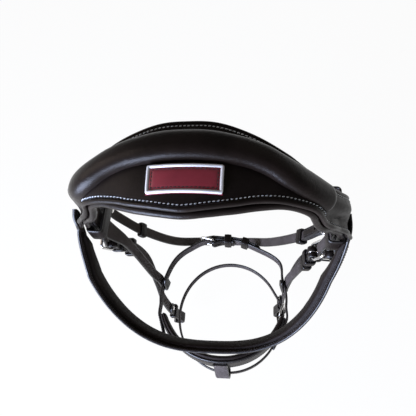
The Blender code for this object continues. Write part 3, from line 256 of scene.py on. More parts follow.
# How far the upper bridle hangs to the right, how much it turns, and the share of both at each level
SWAY = 6.5 * MM
TWIST = 0.042
SWAY_LEVELS = [(-290 * MM, 0.0), (-150 * MM, 1.0), (-36 * MM, 1.0), (2 * MM, 0.0)]
# The loop for the bit at the end of each cheekpiece, and how far the leather returns above it
BIT_LOOP_RADIUS = 8 * MM
BIT_RETURN = 62 * MM
BIT_KEEPER_UP = 14 * MM
STUD_RADIUS = 3 * MM
STUD_HEIGHT = 1.6 * MM
HOOK_STUD_DOWN = 8 * MM
RIVET_UP = 5 * MM

# Noseband: an oval ring, lower in front, padded over the nose
RING_HALF_WIDTH = 81.5 * MM
RING_HALF_DEPTH = 78 * MM
RING_CENTRE = (0, -10 * MM, -304 * MM)
RING_SLOPE = 0.16
# Where the ring is fuller than an oval behind: from an angle to an angle, and how much wider between them
RING_FULLER = [(math.radians(108), math.radians(180), 0.07), (math.radians(205), math.radians(252), 0.15)]
NOSE_HEIGHT = 34 * MM
NOSE_SIDE_HEIGHT = 16 * MM
NOSE_LEATHER = 3 * MM
NOSE_PAD = 7 * MM
NOSE_HALF_ANGLE = math.radians(74)
NOSE_END = 0.02
NOSE_PAD_PROUD = 2 * MM
CHIN_LAP = 22 * MM
CHIN_BEND = 4 * MM
CHIN_SETTLE = 16 * MM
CHIN_BUCKLE_ANGLE = math.radians(170)
CHIN_BILLET_PAST = 63 * MM

# Flash strap: a second, lighter ring below, through a loop on the nose piece
FLASH_HALF_WIDTH = 69.5 * MM
FLASH_HALF_DEPTH = 74 * MM
FLASH_CENTRE = (5 * MM, -18 * MM, -354 * MM)
FLASH_SLOPE = 0.03
FLASH_BUCKLE_ANGLE = math.radians(268)
FLASH_BILLET_BEFORE = 50 * MM
FLASH_PLAIN_BEFORE = 60 * MM
FLASH_BILLET_PAST = 46 * MM
# How far round, in radians, its line begins before the buckle and ends after it
FLASH_RUN_IN = 0.9
FLASH_RUN_OUT = 1.4
FLASH_TAB_LEATHER = 2.2 * MM
FLASH_TAB_HALF_WIDTH = 9 * MM
FLASH_TAB_ROOM = 3.7 * MM

# How finely the looks are drawn, and the detail that the solids leave out
SHARP_ANGLE = 38
FINE_STEP = 2.4 * MM
CREASE_INSET = 1.7 * MM
CREASE_HALF = 0.4 * MM
CREASE_DEPTH = 0.22 * MM
END_CORNER = 1.4 * MM
# Each rolled edge of the crown: how far from the row of stitches, how high on the leather, and its radius
ROLLED_EDGE = {"front": (-2.8 * MM, -0.6 * MM, 2.2 * MM), "rear": (3.7 * MM, -0.9 * MM, 1.6 * MM)}
PAD_BEAD = 3.1 * MM
# Rows of stitches: the crown's own rows in their channels, and the others' distance from the edge and
# height over the face
STITCH_INSET = 2.2 * MM
STITCH_GROOVE = 0.4 * MM
STITCH_GROOVE_WIDTH = 0.5 * MM
CROWN_THREAD_LIFT = 0.15 * MM - 0.6 * STITCH_GROOVE
ROW_STEP = 3 * MM
STRAP_ROW_INSET = 2.8 * MM
BAND_ROW_INSET = 2.9 * MM
TAB_ROW_INSET = 3.2 * MM
STRAP_THREAD_LIFT = 0.12 * MM
BAND_THREAD_LIFT = 0.1 * MM
# The swelling of pads: its pressure, its steps, and how far a pad's and the roll's points may move
SWELL_PRESSURE = 4.0
SWELL_FRAMES = 20
PAD_SWELL = 0.8 * MM
ROLL_SWELL = 0.7 * MM

ARCH_TOP = CROWN_LEATHER + GAP + PAD_THICKNESS

scene = bpy.context.scene
LOOKS = bpy.data.collections.new("looks")
scene.collection.children.link(LOOKS)


# Camera, at the photograph's place

CAMERA_PLACE = Vector((58.4, -181.7, 271.2)) * MM
CAMERA_AZIMUTH = math.radians(-15.64)
CAMERA_DOWN = math.radians(61.02)
CAMERA_ROLL = math.radians(-13.87)
CAMERA_LENS = 39.43


def make_camera():
    data = bpy.data.cameras.new("view")
    data.sensor_width = 36
    data.lens = CAMERA_LENS
    data.clip_start = 0.005
    camera = bpy.data.objects.new("view", data)
    scene.collection.objects.link(camera)
    level = math.cos(CAMERA_DOWN)
    ahead = Vector((
        math.sin(CAMERA_AZIMUTH) * level, math.cos(CAMERA_AZIMUTH) * level, -math.sin(CAMERA_DOWN),
    ))
    side = ahead.cross(UP).normalized()
    above = side.cross(ahead)
    c, s = math.cos(CAMERA_ROLL), math.sin(CAMERA_ROLL)
    turn = Matrix((c * side + s * above, c * above - s * side, -ahead)).transposed().to_4x4()
    camera.matrix_world = Matrix.Translation(CAMERA_PLACE) @ turn
    scene.camera = camera


make_camera()


# Materials


def linear(code):
    """An sRGB hex colour as linear values, opaque."""
    parts = [int(code[k:k + 2], 16) / 255 for k in (0, 2, 4)]
    return (*[p / 12.92 if p <= 0.04045 else ((p + 0.055) / 1.055) ** 2.4 for p in parts], 1.0)


def add(tree, kind, values=None, **settings):
    """Adds a node with its settings. A value is a number, a colour or another node's output."""
    made = tree.nodes.new(kind)
    for key, value in settings.items():
        setattr(made, key, value)
    for key, value in (values or {}).items():
        if isinstance(value, bpy.types.NodeSocket):
            tree.links.new(value, made.inputs[key])
        else:
            made.inputs[key].default_value = value
    return made


def material(name, **shader):
    """A new material with its shader's own values, its tree, shader and a position in millimetres."""
    made = bpy.data.materials.new(name)
    made.use_nodes = True
    tree = made.node_tree
    bsdf = tree.nodes["Principled BSDF"]
    for key, value in shader.items():
        bsdf.inputs[key.replace("_", " ")].default_value = value
    place = add(tree, "ShaderNodeTexCoord").outputs["Object"]
    scaled = add(tree, "ShaderNodeVectorMath", {0: place, 1: (1000, 1000, 1000)}, operation="MULTIPLY")
    return made, tree, bsdf, scaled.outputs[0]


def ramp(tree, factor, stops):
    """A colour ramp through (place, hex colour) stops."""
    made = add(tree, "ShaderNodeValToRGB", {"Fac": factor})
    elements = made.color_ramp.elements
    while len(elements) < len(stops):
        elements.new(0.5)
    for element, (place, code) in zip(elements, stops):
        element.position = place
        element.color = linear(code)
    return made.outputs["Color"]


def raised(tree, bsdf, height, depth, under=None):
    """Raises a shader's surface by a height from 0 to 1, over another relief if one is given."""
    values = {"Height": height, "Distance": depth, "Strength": 1.0}
    if under:
        values["Normal"] = under
    relief = add(tree, "ShaderNodeBump", values).outputs["Normal"]
    tree.links.new(relief, bsdf.inputs["Normal"])
    return relief


def leather(name, stops, rough, pore, pore_depth, crease_depth, **shader):
    """Dyed leather: clouded colour, pores of a size in millimetres, fine creases and a worn sheen."""
    made, tree, bsdf, mm = material(name, **shader)
    cloud = add(tree, "ShaderNodeTexNoise", {"Vector": mm, "Scale": 0.045, "Detail": 4.0, "Roughness": 0.6})
    tree.links.new(ramp(tree, cloud.outputs["Fac"], stops), bsdf.inputs["Base Color"])
    pores = add(tree, "ShaderNodeTexVoronoi", {"Vector": mm, "Scale": 1 / pore, "Randomness": 1.0})
    creases = add(tree, "ShaderNodeTexNoise", {
        "Vector": mm, "Scale": 0.35, "Detail": 6.0, "Roughness": 0.62,
    }).outputs["Fac"]
    sheen = add(tree, "ShaderNodeMapRange", {
        "Value": creases, "From Min": 0.3, "From Max": 0.7, "To Min": rough[0], "To Max": rough[1],
    })
    tree.links.new(sheen.outputs["Result"], bsdf.inputs["Roughness"])
    fine = raised(tree, bsdf, pores.outputs["Distance"], pore_depth)
    raised(tree, bsdf, creases, crease_depth, under=fine)
    return made


# Bridle leather, drum-dyed black and waxed: near black, with a broad soft sheen over fine pores
GRAIN = leather(
    "waxed_bridle_leather", [(0.3, "120d0b"), (0.7, "1c1613")], rough=(0.36, 0.5),
    pore=0.8, pore_depth=0.04 * MM, crease_depth=0.12 * MM, Specular_IOR_Level=0.12,
)
# Nappa over wadding: softer and a little browner, with a tighter sheen broken by a pebbled grain
NAPPA = leather(
    "stuffed_nappa_leather", [(0.3, "130e0b"), (0.7, "1e1714")], rough=(0.28, 0.38),
    pore=1.1, pore_depth=0.07 * MM, crease_depth=0.2 * MM, Specular_IOR_Level=0.16,
)
# Lining leather of the browband and nose piece, glove-soft and left unwaxed: almost without sheen
LINING = leather(
    "glove_soft_lining_leather", [(0.3, "15100e"), (0.7, "211a17")], rough=(0.5, 0.66),
    pore=1.1, pore_depth=0.07 * MM, crease_depth=0.2 * MM, Specular_IOR_Level=0.08,
)
# The flesh side of the straps, slicked but unfinished: dull brownish grey, almost without sheen
FLESH = leather(
    "slicked_flesh_side", [(0.3, "3a3431"), (0.7, "4a4340")], rough=(0.68, 0.85),
    pore=0.6, pore_depth=0.06 * MM, crease_depth=0.15 * MM, Specular_IOR_Level=0.15,
)
# Cut edges, inked and burnished: smooth and dark, so that they draw a fine line round each strap
EDGE = leather(
    "burnished_edge", [(0.3, "141110"), (0.7, "1e1a18")], rough=(0.32, 0.45),
    pore=2.0, pore_depth=0.03 * MM, crease_depth=0.08 * MM, Specular_IOR_Level=0.45,
)
# The plate's leather: burgundy under a thin clear coat, with very fine pores
RED = leather(
    "burgundy_plate_leather", [(0.3, "7a2430"), (0.7, "8c2c38")], rough=(0.38, 0.5),
    pore=0.5, pore_depth=0.03 * MM, crease_depth=0.08 * MM, Coat_Weight=0.25, Coat_Roughness=0.2,
)


def steel():
    """Stainless steel, polished: bright, with faint wear in its polish."""
    made, tree, bsdf, mm = material("polished_stainless_steel", Metallic=1.0)
    bsdf.inputs["Base Color"].default_value = linear("d6d4d2")
    wear = add(tree, "ShaderNodeTexNoise", {"Vector": mm, "Scale": 0.9, "Detail": 5.0, "Roughness": 0.7})
    polish = add(tree, "ShaderNodeMapRange", {"Value": wear.outputs["Fac"], "To Min": 0.1, "To Max": 0.28})
    tree.links.new(polish.outputs["Result"], bsdf.inputs["Roughness"])
    raised(tree, bsdf, wear.outputs["Fac"], 0.03 * MM)
    return made


def silver():
    """Nickel plate, bead blasted: pale and matt, so that the plate's frame stays light from every side."""
    made, tree, bsdf, mm = material("blasted_nickel_plate", Metallic=0.35, Roughness=0.42)
    blast = add(tree, "ShaderNodeTexNoise", {"Vector": mm, "Scale": 2.5, "Detail": 3.0, "Roughness": 0.6})
    stops = [(0.35, "d9d9dc"), (0.65, "f0f0f2")]
    tree.links.new(ramp(tree, blast.outputs["Fac"], stops), bsdf.inputs["Base Color"])
    raised(tree, bsdf, blast.outputs["Fac"], 0.03 * MM)
    return made


def thread(name, stops):
    """Waxed polyester thread, laid: its twist shows as fine bands across each stitch, with painted shade in
    their grooves.
    """
    made, tree, bsdf, mm = material(name, Roughness=0.55, Specular_IOR_Level=0.4)
    twist = add(tree, "ShaderNodeTexWave", {
        "Vector": mm, "Scale": 1.4, "Distortion": 0.6,
    }, bands_direction="DIAGONAL").outputs["Fac"]
    # The colour darkens where the bands' relief is low: painted shade in the grooves of the twist
    tree.links.new(ramp(tree, twist, stops), bsdf.inputs["Base Color"])
    raised(tree, bsdf, twist, 0.08 * MM)
    return made


STEEL = steel()
SILVER = silver()
PALE_THREAD = thread("pale_waxed_thread", [(0.2, "c6ced8"), (0.8, "f0f3f6")])
DARK_THREAD = thread("black_waxed_thread", [(0.2, "1d1a19"), (0.8, "35302e")])


# Meshes

# The finishes of a strap's strips, as places in its list of materials
FACE, CUT, BACK = 0, 1, 2
STRAP_FINISH = [GRAIN, EDGE, FLESH]


def add_object(name, data):
    made = bpy.data.objects.new(name, data)
    LOOKS.objects.link(made)
    return made


def smooth_shaded(mesh, degrees=SHARP_ANGLE):
    mesh.shade_smooth()
    mesh.set_sharp_from_angle(angle=math.radians(degrees))


def skin(name, rings, materials, zones=None, closed=False, along=None, across=None, sharp=SHARP_ANGLE):
    """A closed body over rings of points. Zones gives each strip its material, and along and across
    give each point its place in the UV map."""
    work = bmesh.new()
    layer = work.loops.layers.uv.new("lay")
    made = [[work.verts.new(point) for point in ring] for ring in rings]
    count = len(rings[0])
    across = across or [0.0] * count
    along = along or [0.0] * len(rings)
    pairs = list(zip(range(len(rings)), range(1, len(rings))))
    if closed:
        pairs.append((len(rings) - 1, 0))
    for i, j in pairs:
        for k in range(count):
            after = (k + 1) % count
            face = work.faces.new((made[i][k], made[i][after], made[j][after], made[j][k]))
            face.material_index = zones[k] if zones else 0
            places = ((k, i), (after, i), (after, j), (k, j))
            for loop, (column, row) in zip(face.loops, places):
                loop[layer].uv = (across[column], along[row])
    if not closed:
        cap = CUT if zones else 0
        for ring in (list(reversed(made[0])), made[-1]):
            work.faces.new(ring).material_index = cap
    bmesh.ops.recalc_face_normals(work, faces=work.faces)
    mesh = bpy.data.meshes.new(name)
    work.to_mesh(mesh)
    work.free()
    for entry in materials:
        mesh.materials.append(entry)
    smooth_shaded(mesh, sharp)
    return add_object(name, mesh)


def baked(piece):
    """Turns a piece's modifiers into its plain mesh."""
    bpy.context.view_layer.update()
    graph = bpy.context.evaluated_depsgraph_get()
    mesh = bpy.data.meshes.new_from_object(piece.evaluated_get(graph))
    piece.modifiers.clear()
    piece.data = mesh
    return piece


def punched(piece, cutters):
    """Cuts closed lofts out of a piece. The walls of a hole take the cut edge's finish."""
    tools = []
    for k, rings in enumerate(cutters):
        tool = skin(f"{piece.name}_punch_{k}", rings, list(piece.data.materials), [CUT] * len(rings[0]))
        change = piece.modifiers.new(tool.name, "BOOLEAN")
        change.operation = "DIFFERENCE"
        change.solver = "EXACT"
        change.object = tool
        tools.append(tool)
    baked(piece)
    for tool in tools:
        bpy.data.objects.remove(tool)
    smooth_shaded(piece.data)
    return piece


def joined(piece, other):
    """Takes another object's shell, of the same material, into a piece."""
    work = bmesh.new()
    work.from_mesh(piece.data)
    work.from_mesh(other.data)
    work.to_mesh(piece.data)
    work.free()
    bpy.data.objects.remove(other)


def set_down(piece, body, slot, *nodes):
    """Rides a piece on its body in place of its CAD nodes."""
    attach(piece, body)
    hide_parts(*nodes)
    return piece


# Lines: smooth routes with a frame at each length along them


def interpolate(knots, at):
    """A smooth value through (place, value) knots."""
    at = max(knots[0][0], min(knots[-1][0], at))
    k = max(i for i in range(len(knots) - 1) if knots[i][0] <= at)
    x0, y0 = knots[k]
    x1, y1 = knots[k + 1]
    before = knots[k - 1] if k else (2 * x0 - x1, y1)
    after = knots[k + 2] if k + 2 < len(knots) else (2 * x1 - x0, 2 * y1 - y0)
    t = (at - x0) / (x1 - x0)
    slope0 = (y1 - before[1]) / (x1 - before[0]) * (x1 - x0)
    slope1 = (after[1] - y0) / (after[0] - x0) * (x1 - x0)
    return (
        (2 * t**3 - 3 * t**2 + 1) * y0
        + (t**3 - 2 * t**2 + t) * slope0
        + (3 * t**2 - 2 * t**3) * y1
        + (t**3 - t**2) * slope1
    )


def leading(knots):
    """Knots with one more before them, in line with the first two."""
    (x0, y0), (x1, y1) = knots[:2]
    return [(2 * x0 - x1, 2 * y0 - y1)] + knots


def smooth_points(corners, count):
    """Evenly spaced points on a smooth curve through coarse ones."""
    chord = [0.0]
    for a, b in zip(corners, corners[1:]):
        chord.append(chord[-1] + (b - a).length)
    knots = [leading([(c, p[axis]) for c, p in zip(chord, corners)]) for axis in range(3)]
    return [Vector([interpolate(row, chord[-1] * k / count) for row in knots]) for k in range(count + 1)]


def eased(knots, at):
    """A value through knots that is level at each of them."""
    if at <= knots[0][0]:
        return knots[0][1]
    for (x0, y0), (x1, y1) in zip(knots, knots[1:]):
        if at <= x1:
            share = (1 - math.cos(math.pi * (at - x0) / (x1 - x0))) / 2
            return y0 + (y1 - y0) * share
    return knots[-1][1]


def settled(point):
    """Where a point of the upper bridle comes to as it hangs."""
    share = eased(SWAY_LEVELS, point.z)
    return Vector((point.x + SWAY * share, point.y - TWIST * point.x * share, point.z))


class Line:
    """A route with a width direction, a tangent and an outward normal at each length along it."""

    def __init__(self, points, width_hint, end_hint=None):
        self.points = points
        self.hint = Vector(width_hint)
        self.end_hint = Vector(end_hint or width_hint)
        self.lengths = [0.0]
        for a, b in zip(points, points[1:]):
            self.lengths.append(self.lengths[-1] + (b - a).length)
        self.length = self.lengths[-1]

    def place(self, s):
        inside = max(0.0, min(self.length - 1e-9, s))
        k = bisect.bisect_right(self.lengths, inside) - 1
        share = (s - self.lengths[k]) / (self.lengths[k + 1] - self.lengths[k])
        return self.points[k].lerp(self.points[k + 1], share)

    def frame(self, s):
        step = 2 * MM
        tangent = (self.place(s + step) - self.place(s - step)).normalized()
        share = max(0.0, min(1.0, s / self.length))
        hint = self.hint.lerp(self.end_hint, share * share)
        width = (hint - hint.dot(tangent) * tangent).normalized()
        return width, tangent, tangent.cross(width)

    def at(self, s, normal=0.0, across=0.0):
        width, _, outward = self.frame(s)
        return self.place(s) + outward * normal + width * across


def smooth_line(points_mm, side, width_hint, end_hint=None, mirrored_after=False):
    """A line through given points on the right side, or the left with side -1."""
    points = [Vector((x * side, y, z)) * MM for x, y, z in points_mm]
    if mirrored_after:
        points += [Vector((-p.x, p.y, p.z)) for p in reversed(points[:-1])]
    return Line(smooth_points([settled(p) for p in points], 160), width_hint, end_hint)


def ring_line(centre, half_width, half_depth, slope, start, turn, fuller=()):
    """An oval route seen from above, from an angle at the front through the left side and the back."""
    count = 240
    points = []
    for k in range(count + 1):
        angle = start + turn * k / count
        y = -half_depth * math.cos(angle)
        wide = half_width
        for low, high, extra in fuller:
            if low < angle < high:
                wide *= 1 + extra * math.sin(math.pi * (angle - low) / (high - low)) ** 2
        points.append(Vector(centre) + Vector((-wide * math.sin(angle), y, slope * y)))
    return Line(points, -UP)


# Straps


def section(half, thickness):
    """Cross-section of a strap creased along its edges: (across, out, finish of the next strip) points."""
    rim = min(thickness * 0.45, half * 0.5)
    inset = min(CREASE_INSET, half * 0.5)
    groove = min(CREASE_HALF, half * 0.12)
    depth = CREASE_DEPTH * min(1.0, half / (3 * MM))
    top = thickness / 2
    crown = min(0.15 * MM, half * 0.04)
    middle = half - inset - groove
    half_face = [
        (half - rim, top - 0.02 * MM),
        (half - inset + groove, top),
        (half - inset, top - depth),
        (middle, top),
        (middle * 0.5, top + crown * 0.8),
    ]
    points = [(-a, n, FACE) for a, n in half_face] + [(0.0, top + crown, FACE)]
    points += [(a, n, FACE) for a, n in reversed(half_face)]
    points[-1] = (*points[-1][:2], CUT)
    for k in range(1, 6):
        angle = math.pi * (0.5 - k / 6)
        points.append((half - rim + rim * math.cos(angle), top * math.sin(angle), CUT))
    points += [(half - rim, -top, BACK), (half * 0.4, -top, BACK)]
    points += [(-half * 0.4, -top, BACK), (rim - half, -top, CUT)]
    for k in range(1, 6):
        angle = math.pi * (-0.5 - k / 6)
        points.append((rim - half + rim * math.cos(angle), top * math.sin(angle), CUT))
    return points


def finishes(profile):
    """The finish of each strip of a cross-section."""
    return [zone for _, _, zone in profile]


def finer(stations, tip):
    """Closely spaced stations through coarser ones, closest at the rounded ends, and their whole length."""
    places = [0.0]
    for a, b in zip(stations, stations[1:]):
        places.append(places[-1] + math.hypot(b[0] - a[0], b[1] - a[1]))
    whole = places[-1]
    knots = [leading([(c, station[axis]) for c, station in zip(places, stations)]) for axis in (0, 1)]
    wanted = {0.0, whole}
    for a, b in zip(places, places[1:]):
        steps = max(2, math.ceil((b - a) / FINE_STEP))
        wanted.update(a + (b - a) * k / steps for k in range(steps + 1))
    for k in range(1, 9):
        share = 1 - math.cos(math.pi / 2 * k / 8)
        wanted.add(whole - tip * share)
        wanted.add(END_CORNER * share)
    kept = []
    for c in sorted(wanted):
        if not kept or c - kept[-1] > 0.02 * MM:
            kept.append(c)
    kept[-1] = whole
    return [(c, interpolate(knots[0], c), interpolate(knots[1], c)) for c in kept], whole


def rounding(distance, radius):
    """How much of the full width is left this near to a rounded end."""
    if distance >= radius:
        return 1.0
    return math.sqrt(max(0.0, 1 - (1 - distance / radius) ** 2))


def strap(name, line, stations, width, leather_thickness, round_end=True):
    """A strap of creased leather through (length along the line, offset along its normal) stations."""
    tip = TIP_LENGTH if round_end else END_CORNER
    fine, whole = finer(stations, tip)
    middles = [line.at(s, n) for _, s, n in fine]
    rings, along = [], []
    last = len(fine) - 1
    for k, (c, s, n) in enumerate(fine):
        side = line.frame(s)[0]
        tangent = (middles[min(k + 1, last)] - middles[max(k - 1, 0)]).normalized()
        out = tangent.cross(side).normalized()
        half = (width(s) if callable(width) else width) / 2
        if round_end:
            half *= max(0.12, rounding(whole - c, tip))
        else:
            half -= END_CORNER * (1 - rounding(whole - c, END_CORNER))
        half -= END_CORNER * (1 - rounding(c, END_CORNER))
        rings.append([middles[k] + side * a + out * o for a, o, _ in section(half, leather_thickness)])
        along.append(c)
    outline = section((width(0) if callable(width) else width) / 2, leather_thickness)
    across = [a for a, _, _ in outline]
    return skin(name, rings, STRAP_FINISH, finishes(outline), along=along, across=across)


def spread(start, stop, count, offset=None):
    """Stations at even lengths, with an offset for each if a function is given."""
    places = [start + (stop - start) * k / count for k in range(count + 1)]
    return [(s, offset(s) if offset else 0.0) for s in places]


def bar_offset(kind):
    """How far the buckle's bar lies inside the strap's own middle."""
    return -(kind["leather"] + GAP) / 2


def fold_radius(kind):
    return kind["wire"] + FOLD_ROOM + kind["leather"] / 2


def chape_stations(kind, buckle):
    """The strap's end folded round the buckle's bar, from its free end to where it lies flat again."""
    inner = -(kind["leather"] + GAP)
    radius = fold_radius(kind)
    bar = bar_offset(kind)
    flat = [CHAPE_LENGTH, CHAPE_LENGTH * 0.8, CHAPE_LENGTH * 0.6, CHAPE_LENGTH * 0.4]
    stations = [(buckle + s, inner) for s in flat]
    steps = 10
    for k in range(steps + 1):
        angle = math.pi * k / steps
        stations.append((buckle - radius * math.sin(angle), bar - radius * math.cos(angle)))
    stations += [(buckle + s, 0.0) for s in reversed(flat[1:])]
    return stations


def billet_offset(kind, buckle):
    """The billet's route: behind the frame's front bar, over the bar, then along the strap."""
    thickness, radius = kind["leather"], kind["wire"]
    bar = bar_offset(kind)
    front = bar + FRAME_LENGTH * math.sin(FRAME_TILT) - radius - 3 * GAP - thickness / 2
    over = bar + fold_radius(kind) + thickness + GAP
    knots = [
        (buckle - FRAME_LENGTH * math.cos(FRAME_TILT) - BILLET_RISE, 0.0),
        (buckle - FRAME_LENGTH * math.cos(FRAME_TILT), front),
        (buckle, over),
        (buckle + BILLET_SETTLE, thickness + GAP),
    ]
    return lambda s: eased(knots, s)


def hole_rings(line, s, normal, depth, radius, stretch=0.0):
    """A punched hole, round or drawn out along the strap, as two rings across the leather."""
    width, tangent, outward = line.frame(s)
    middle = line.place(s) + outward * normal
    corners = 20
    rings = []
    for side in (-depth, depth):
        ring = []
        for k in range(corners):
            angle = 2 * math.pi * (k + 0.5) / corners
            along = radius * math.sin(angle) + math.copysign(stretch, math.sin(angle))
            ring.append(middle + outward * side + width * radius * math.cos(angle) + tangent * along)
        rings.append(ring)
    return rings


def billet_stations(kind, buckle, stop, start, offset):
    """Closely spaced where the billet goes through the buckle."""
    front = buckle - FRAME_LENGTH * math.cos(FRAME_TILT)
    first = max(start, front - BILLET_RISE)
    stations = []
    if first - start > 4 * MM:
        stations += spread(start, first, math.ceil((first - start) / SEGMENT), offset)[:-1]
    stations += spread(first, buckle + BILLET_SETTLE, 14, offset)
    after = stop - (buckle + BILLET_SETTLE)
    stations += spread(buckle + BILLET_SETTLE, stop, max(2, math.ceil(after / SEGMENT)), offset)[1:]
    return stations


def billet_holes(line, kind, buckle, stop, offset, count=HOLE_COUNT):
    """The oval hole that the tongue is in, and round ones after it."""
    slot_middle = buckle - (TONGUE_HOLE_AFTER - TONGUE_HOLE_BEFORE) / 2
    slot_half = (TONGUE_HOLE_AFTER + TONGUE_HOLE_BEFORE) / 2
    depth = kind["leather"] * 0.9
    stretch = slot_half - HOLE_RADIUS
    cutters = [hole_rings(line, slot_middle, offset(slot_middle), depth * 1.7, HOLE_RADIUS, stretch)]
    for k in range(1, count + 1):
        place = buckle + k * HOLE_SPACING
        if place < stop - TIP_LENGTH - HOLE_RADIUS:
            cutters.append(hole_rings(line, place, offset(place), depth, HOLE_RADIUS))
    return cutters


def tongue_slot(line, kind, buckle):
    """The slot through a folded end that the tongue swings in, as two rings."""
    half = TONGUE_RADIUS + 2 * GAP
    reach = fold_radius(kind) + kind["leather"]
    low, high = bar_offset(kind) - 2 * reach, bar_offset(kind) + reach
    return [
        [line.at(s, low, -half), line.at(s, low, half), line.at(s, high, half), line.at(s, high, -half)]
        for s in (buckle - reach, buckle + 1.6 * reach)
    ]


def billet(name, line, kind, buckle, stop):
    """The strap that goes through a buckle, with its row of holes."""
    offset = billet_offset(kind, buckle)
    stations = billet_stations(kind, buckle, stop, 0.0, offset)
    made = strap(name, line, stations, kind["width"], kind["leather"])
    return punched(made, billet_holes(line, kind, buckle, stop, offset))


# Wire


def tube(name, points, radius, materials, closed=False, sides=16, taper=None):
    """A round tube along a polyline, its open ends domed."""
    last = len(points) - 1

    def ahead(k):
        if closed:
            return (points[(k + 1) % len(points)] - points[k - 1]).normalized()
        return (points[min(k + 1, last)] - points[max(k - 1, 0)]).normalized()

    tangent = ahead(0)
    side = tangent.orthogonal().normalized()
    stops = []
    for k, point in enumerate(points):
        following = ahead(k)
        side = (tangent.rotation_difference(following) @ side).normalized()
        tangent = following
        stops.append((point, tangent, side, taper(k / last) if taper else 1.0))
    if not closed:
        domes = []
        for place, (point, tangent, side, size) in ((-1, stops[0]), (1, stops[-1])):
            dome = []
            for k in range(1, 5):
                angle = math.pi / 2 * k / 4.15
                shift = tangent * place * radius * size * math.sin(angle)
                dome.append((point + shift, tangent, side, size * math.cos(angle)))
            domes.append(dome)
        stops = list(reversed(domes[0])) + stops + domes[1]
    rings = []
    for point, tangent, side, size in stops:
        other = tangent.cross(side)
        ring = []
        for k in range(sides):
            angle = 2 * math.pi * k / sides
            ring.append(point + radius * size * (side * math.cos(angle) + other * math.sin(angle)))
        rings.append(ring)
    return skin(name, rings, materials, closed=closed, sharp=60)


def buckle_frame(name, line, kind, buckle):
    """A rounded rectangle of wire on the bar, its front bar lifted off the strap."""
    width, tangent, outward = line.frame(buckle)
    centre = line.place(buckle) + outward * bar_offset(kind)
    upstream = -tangent * math.cos(FRAME_TILT) + outward * math.sin(FRAME_TILT)
    half = kind["width"] / 2 + FRAME_ROOM + kind["wire"]
    corner = FRAME_CORNER
    points = []
    for side_across, side_along, start in ((1, 0, -90), (1, 1, 0), (-1, 1, 90), (-1, 0, 180)):
        for k in range(9):
            angle = math.radians(start + 90 * k / 8)
            across = side_across * (half - corner) + corner * math.cos(angle)
            along = (FRAME_LENGTH - corner if side_along else corner) + corner * math.sin(angle)
            points.append(centre + width * across + upstream * along)
    return tube(name, points, kind["wire"], [STEEL], closed=True)


def tongue(name, line, kind, buckle):
    """Bent wire: wrapped round the bar, up through the billet's hole and over the front bar."""
    width, tangent, outward = line.frame(buckle)
    centre = line.place(buckle) + outward * bar_offset(kind)
    thickness, radius = kind["leather"], kind["wire"]
    wrap = radius + GAP + TONGUE_RADIUS
    over = fold_radius(kind) + thickness + GAP
    above = over + thickness / 2 + GAP + TONGUE_RADIUS
    front_along = FRAME_LENGTH * math.cos(FRAME_TILT)
    on_bar = FRAME_LENGTH * math.sin(FRAME_TILT) + radius + GAP + TONGUE_RADIUS
    route = []
    for k in range(11):
        angle = math.radians(-80 + 250 * k / 10)
        route.append((wrap * math.sin(angle), -wrap * math.cos(angle)))
    route += [
        (TONGUE_RADIUS * 3.9, above - thickness * 0.15),
        (TONGUE_RADIUS * 6.2, above + GAP * 2),
        (front_along, on_bar),
        (front_along + TONGUE_PAST_BAR, on_bar),
    ]
    points = smooth_points([centre - tangent * along + outward * normal for along, normal in route], 60)

    def slimmer(share):
        return 1.0 - 0.25 * max(0.0, share - 0.7) / 0.3

    return tube(name, points, TONGUE_RADIUS, [STEEL], taper=slimmer)


def keeper(name, line, kind, s, layers_in, layers_out, room=KEEPER_ROOM):
    """A leather loop round the layers of strap inside and outside the line's own."""
    pitch = kind["leather"] + GAP
    half_leather = kind["leather"] / 2
    low = -layers_in * pitch - half_leather - room - KEEPER_LEATHER / 2
    high = layers_out * pitch + half_leather + room + KEEPER_LEATHER / 2
    half = kind["width"] / 2 + room + KEEPER_LEATHER / 2
    corner = KEEPER_LEATHER * 0.9
    width, tangent, outward = line.frame(s)
    middle = line.place(s)
    outline = []
    for across, normal, start in ((1, high, 0), (-1, high, 90), (-1, low, 180), (1, low, 270)):
        for k in range(7):
            angle = math.radians(start + 15 * k)
            x = across * (half - corner) + corner * math.cos(angle)
            n = normal - math.copysign(corner, normal - (low + high) / 2) + corner * math.sin(angle)
            outline.append(middle + width * x + outward * n)
    return leather_loop(name, outline, tangent, KEEPER_LENGTH / 2, KEEPER_LEATHER)


def leather_loop(name, outline, axis, half, thickness):
    """A closed band of leather through points, its width along an axis, its grain side outwards."""
    middle = sum(outline, Vector()) / len(outline)
    rings, along, gone = [], [], 0.0
    profile = section(half, thickness)
    for k, point in enumerate(outline):
        before, after = outline[k - 1], outline[(k + 1) % len(outline)]
        out = (after - before).cross(axis).normalized()
        if out.dot(point - middle) < 0:
            out = -out
        rings.append([point + axis * a + out * o for a, o, _ in profile])
        along.append(gone)
        gone += (after - point).length
    across = [a for a, _, _ in profile]
    return skin(name, rings, STRAP_FINISH, finishes(profile), closed=True, along=along, across=across)


# Stitches


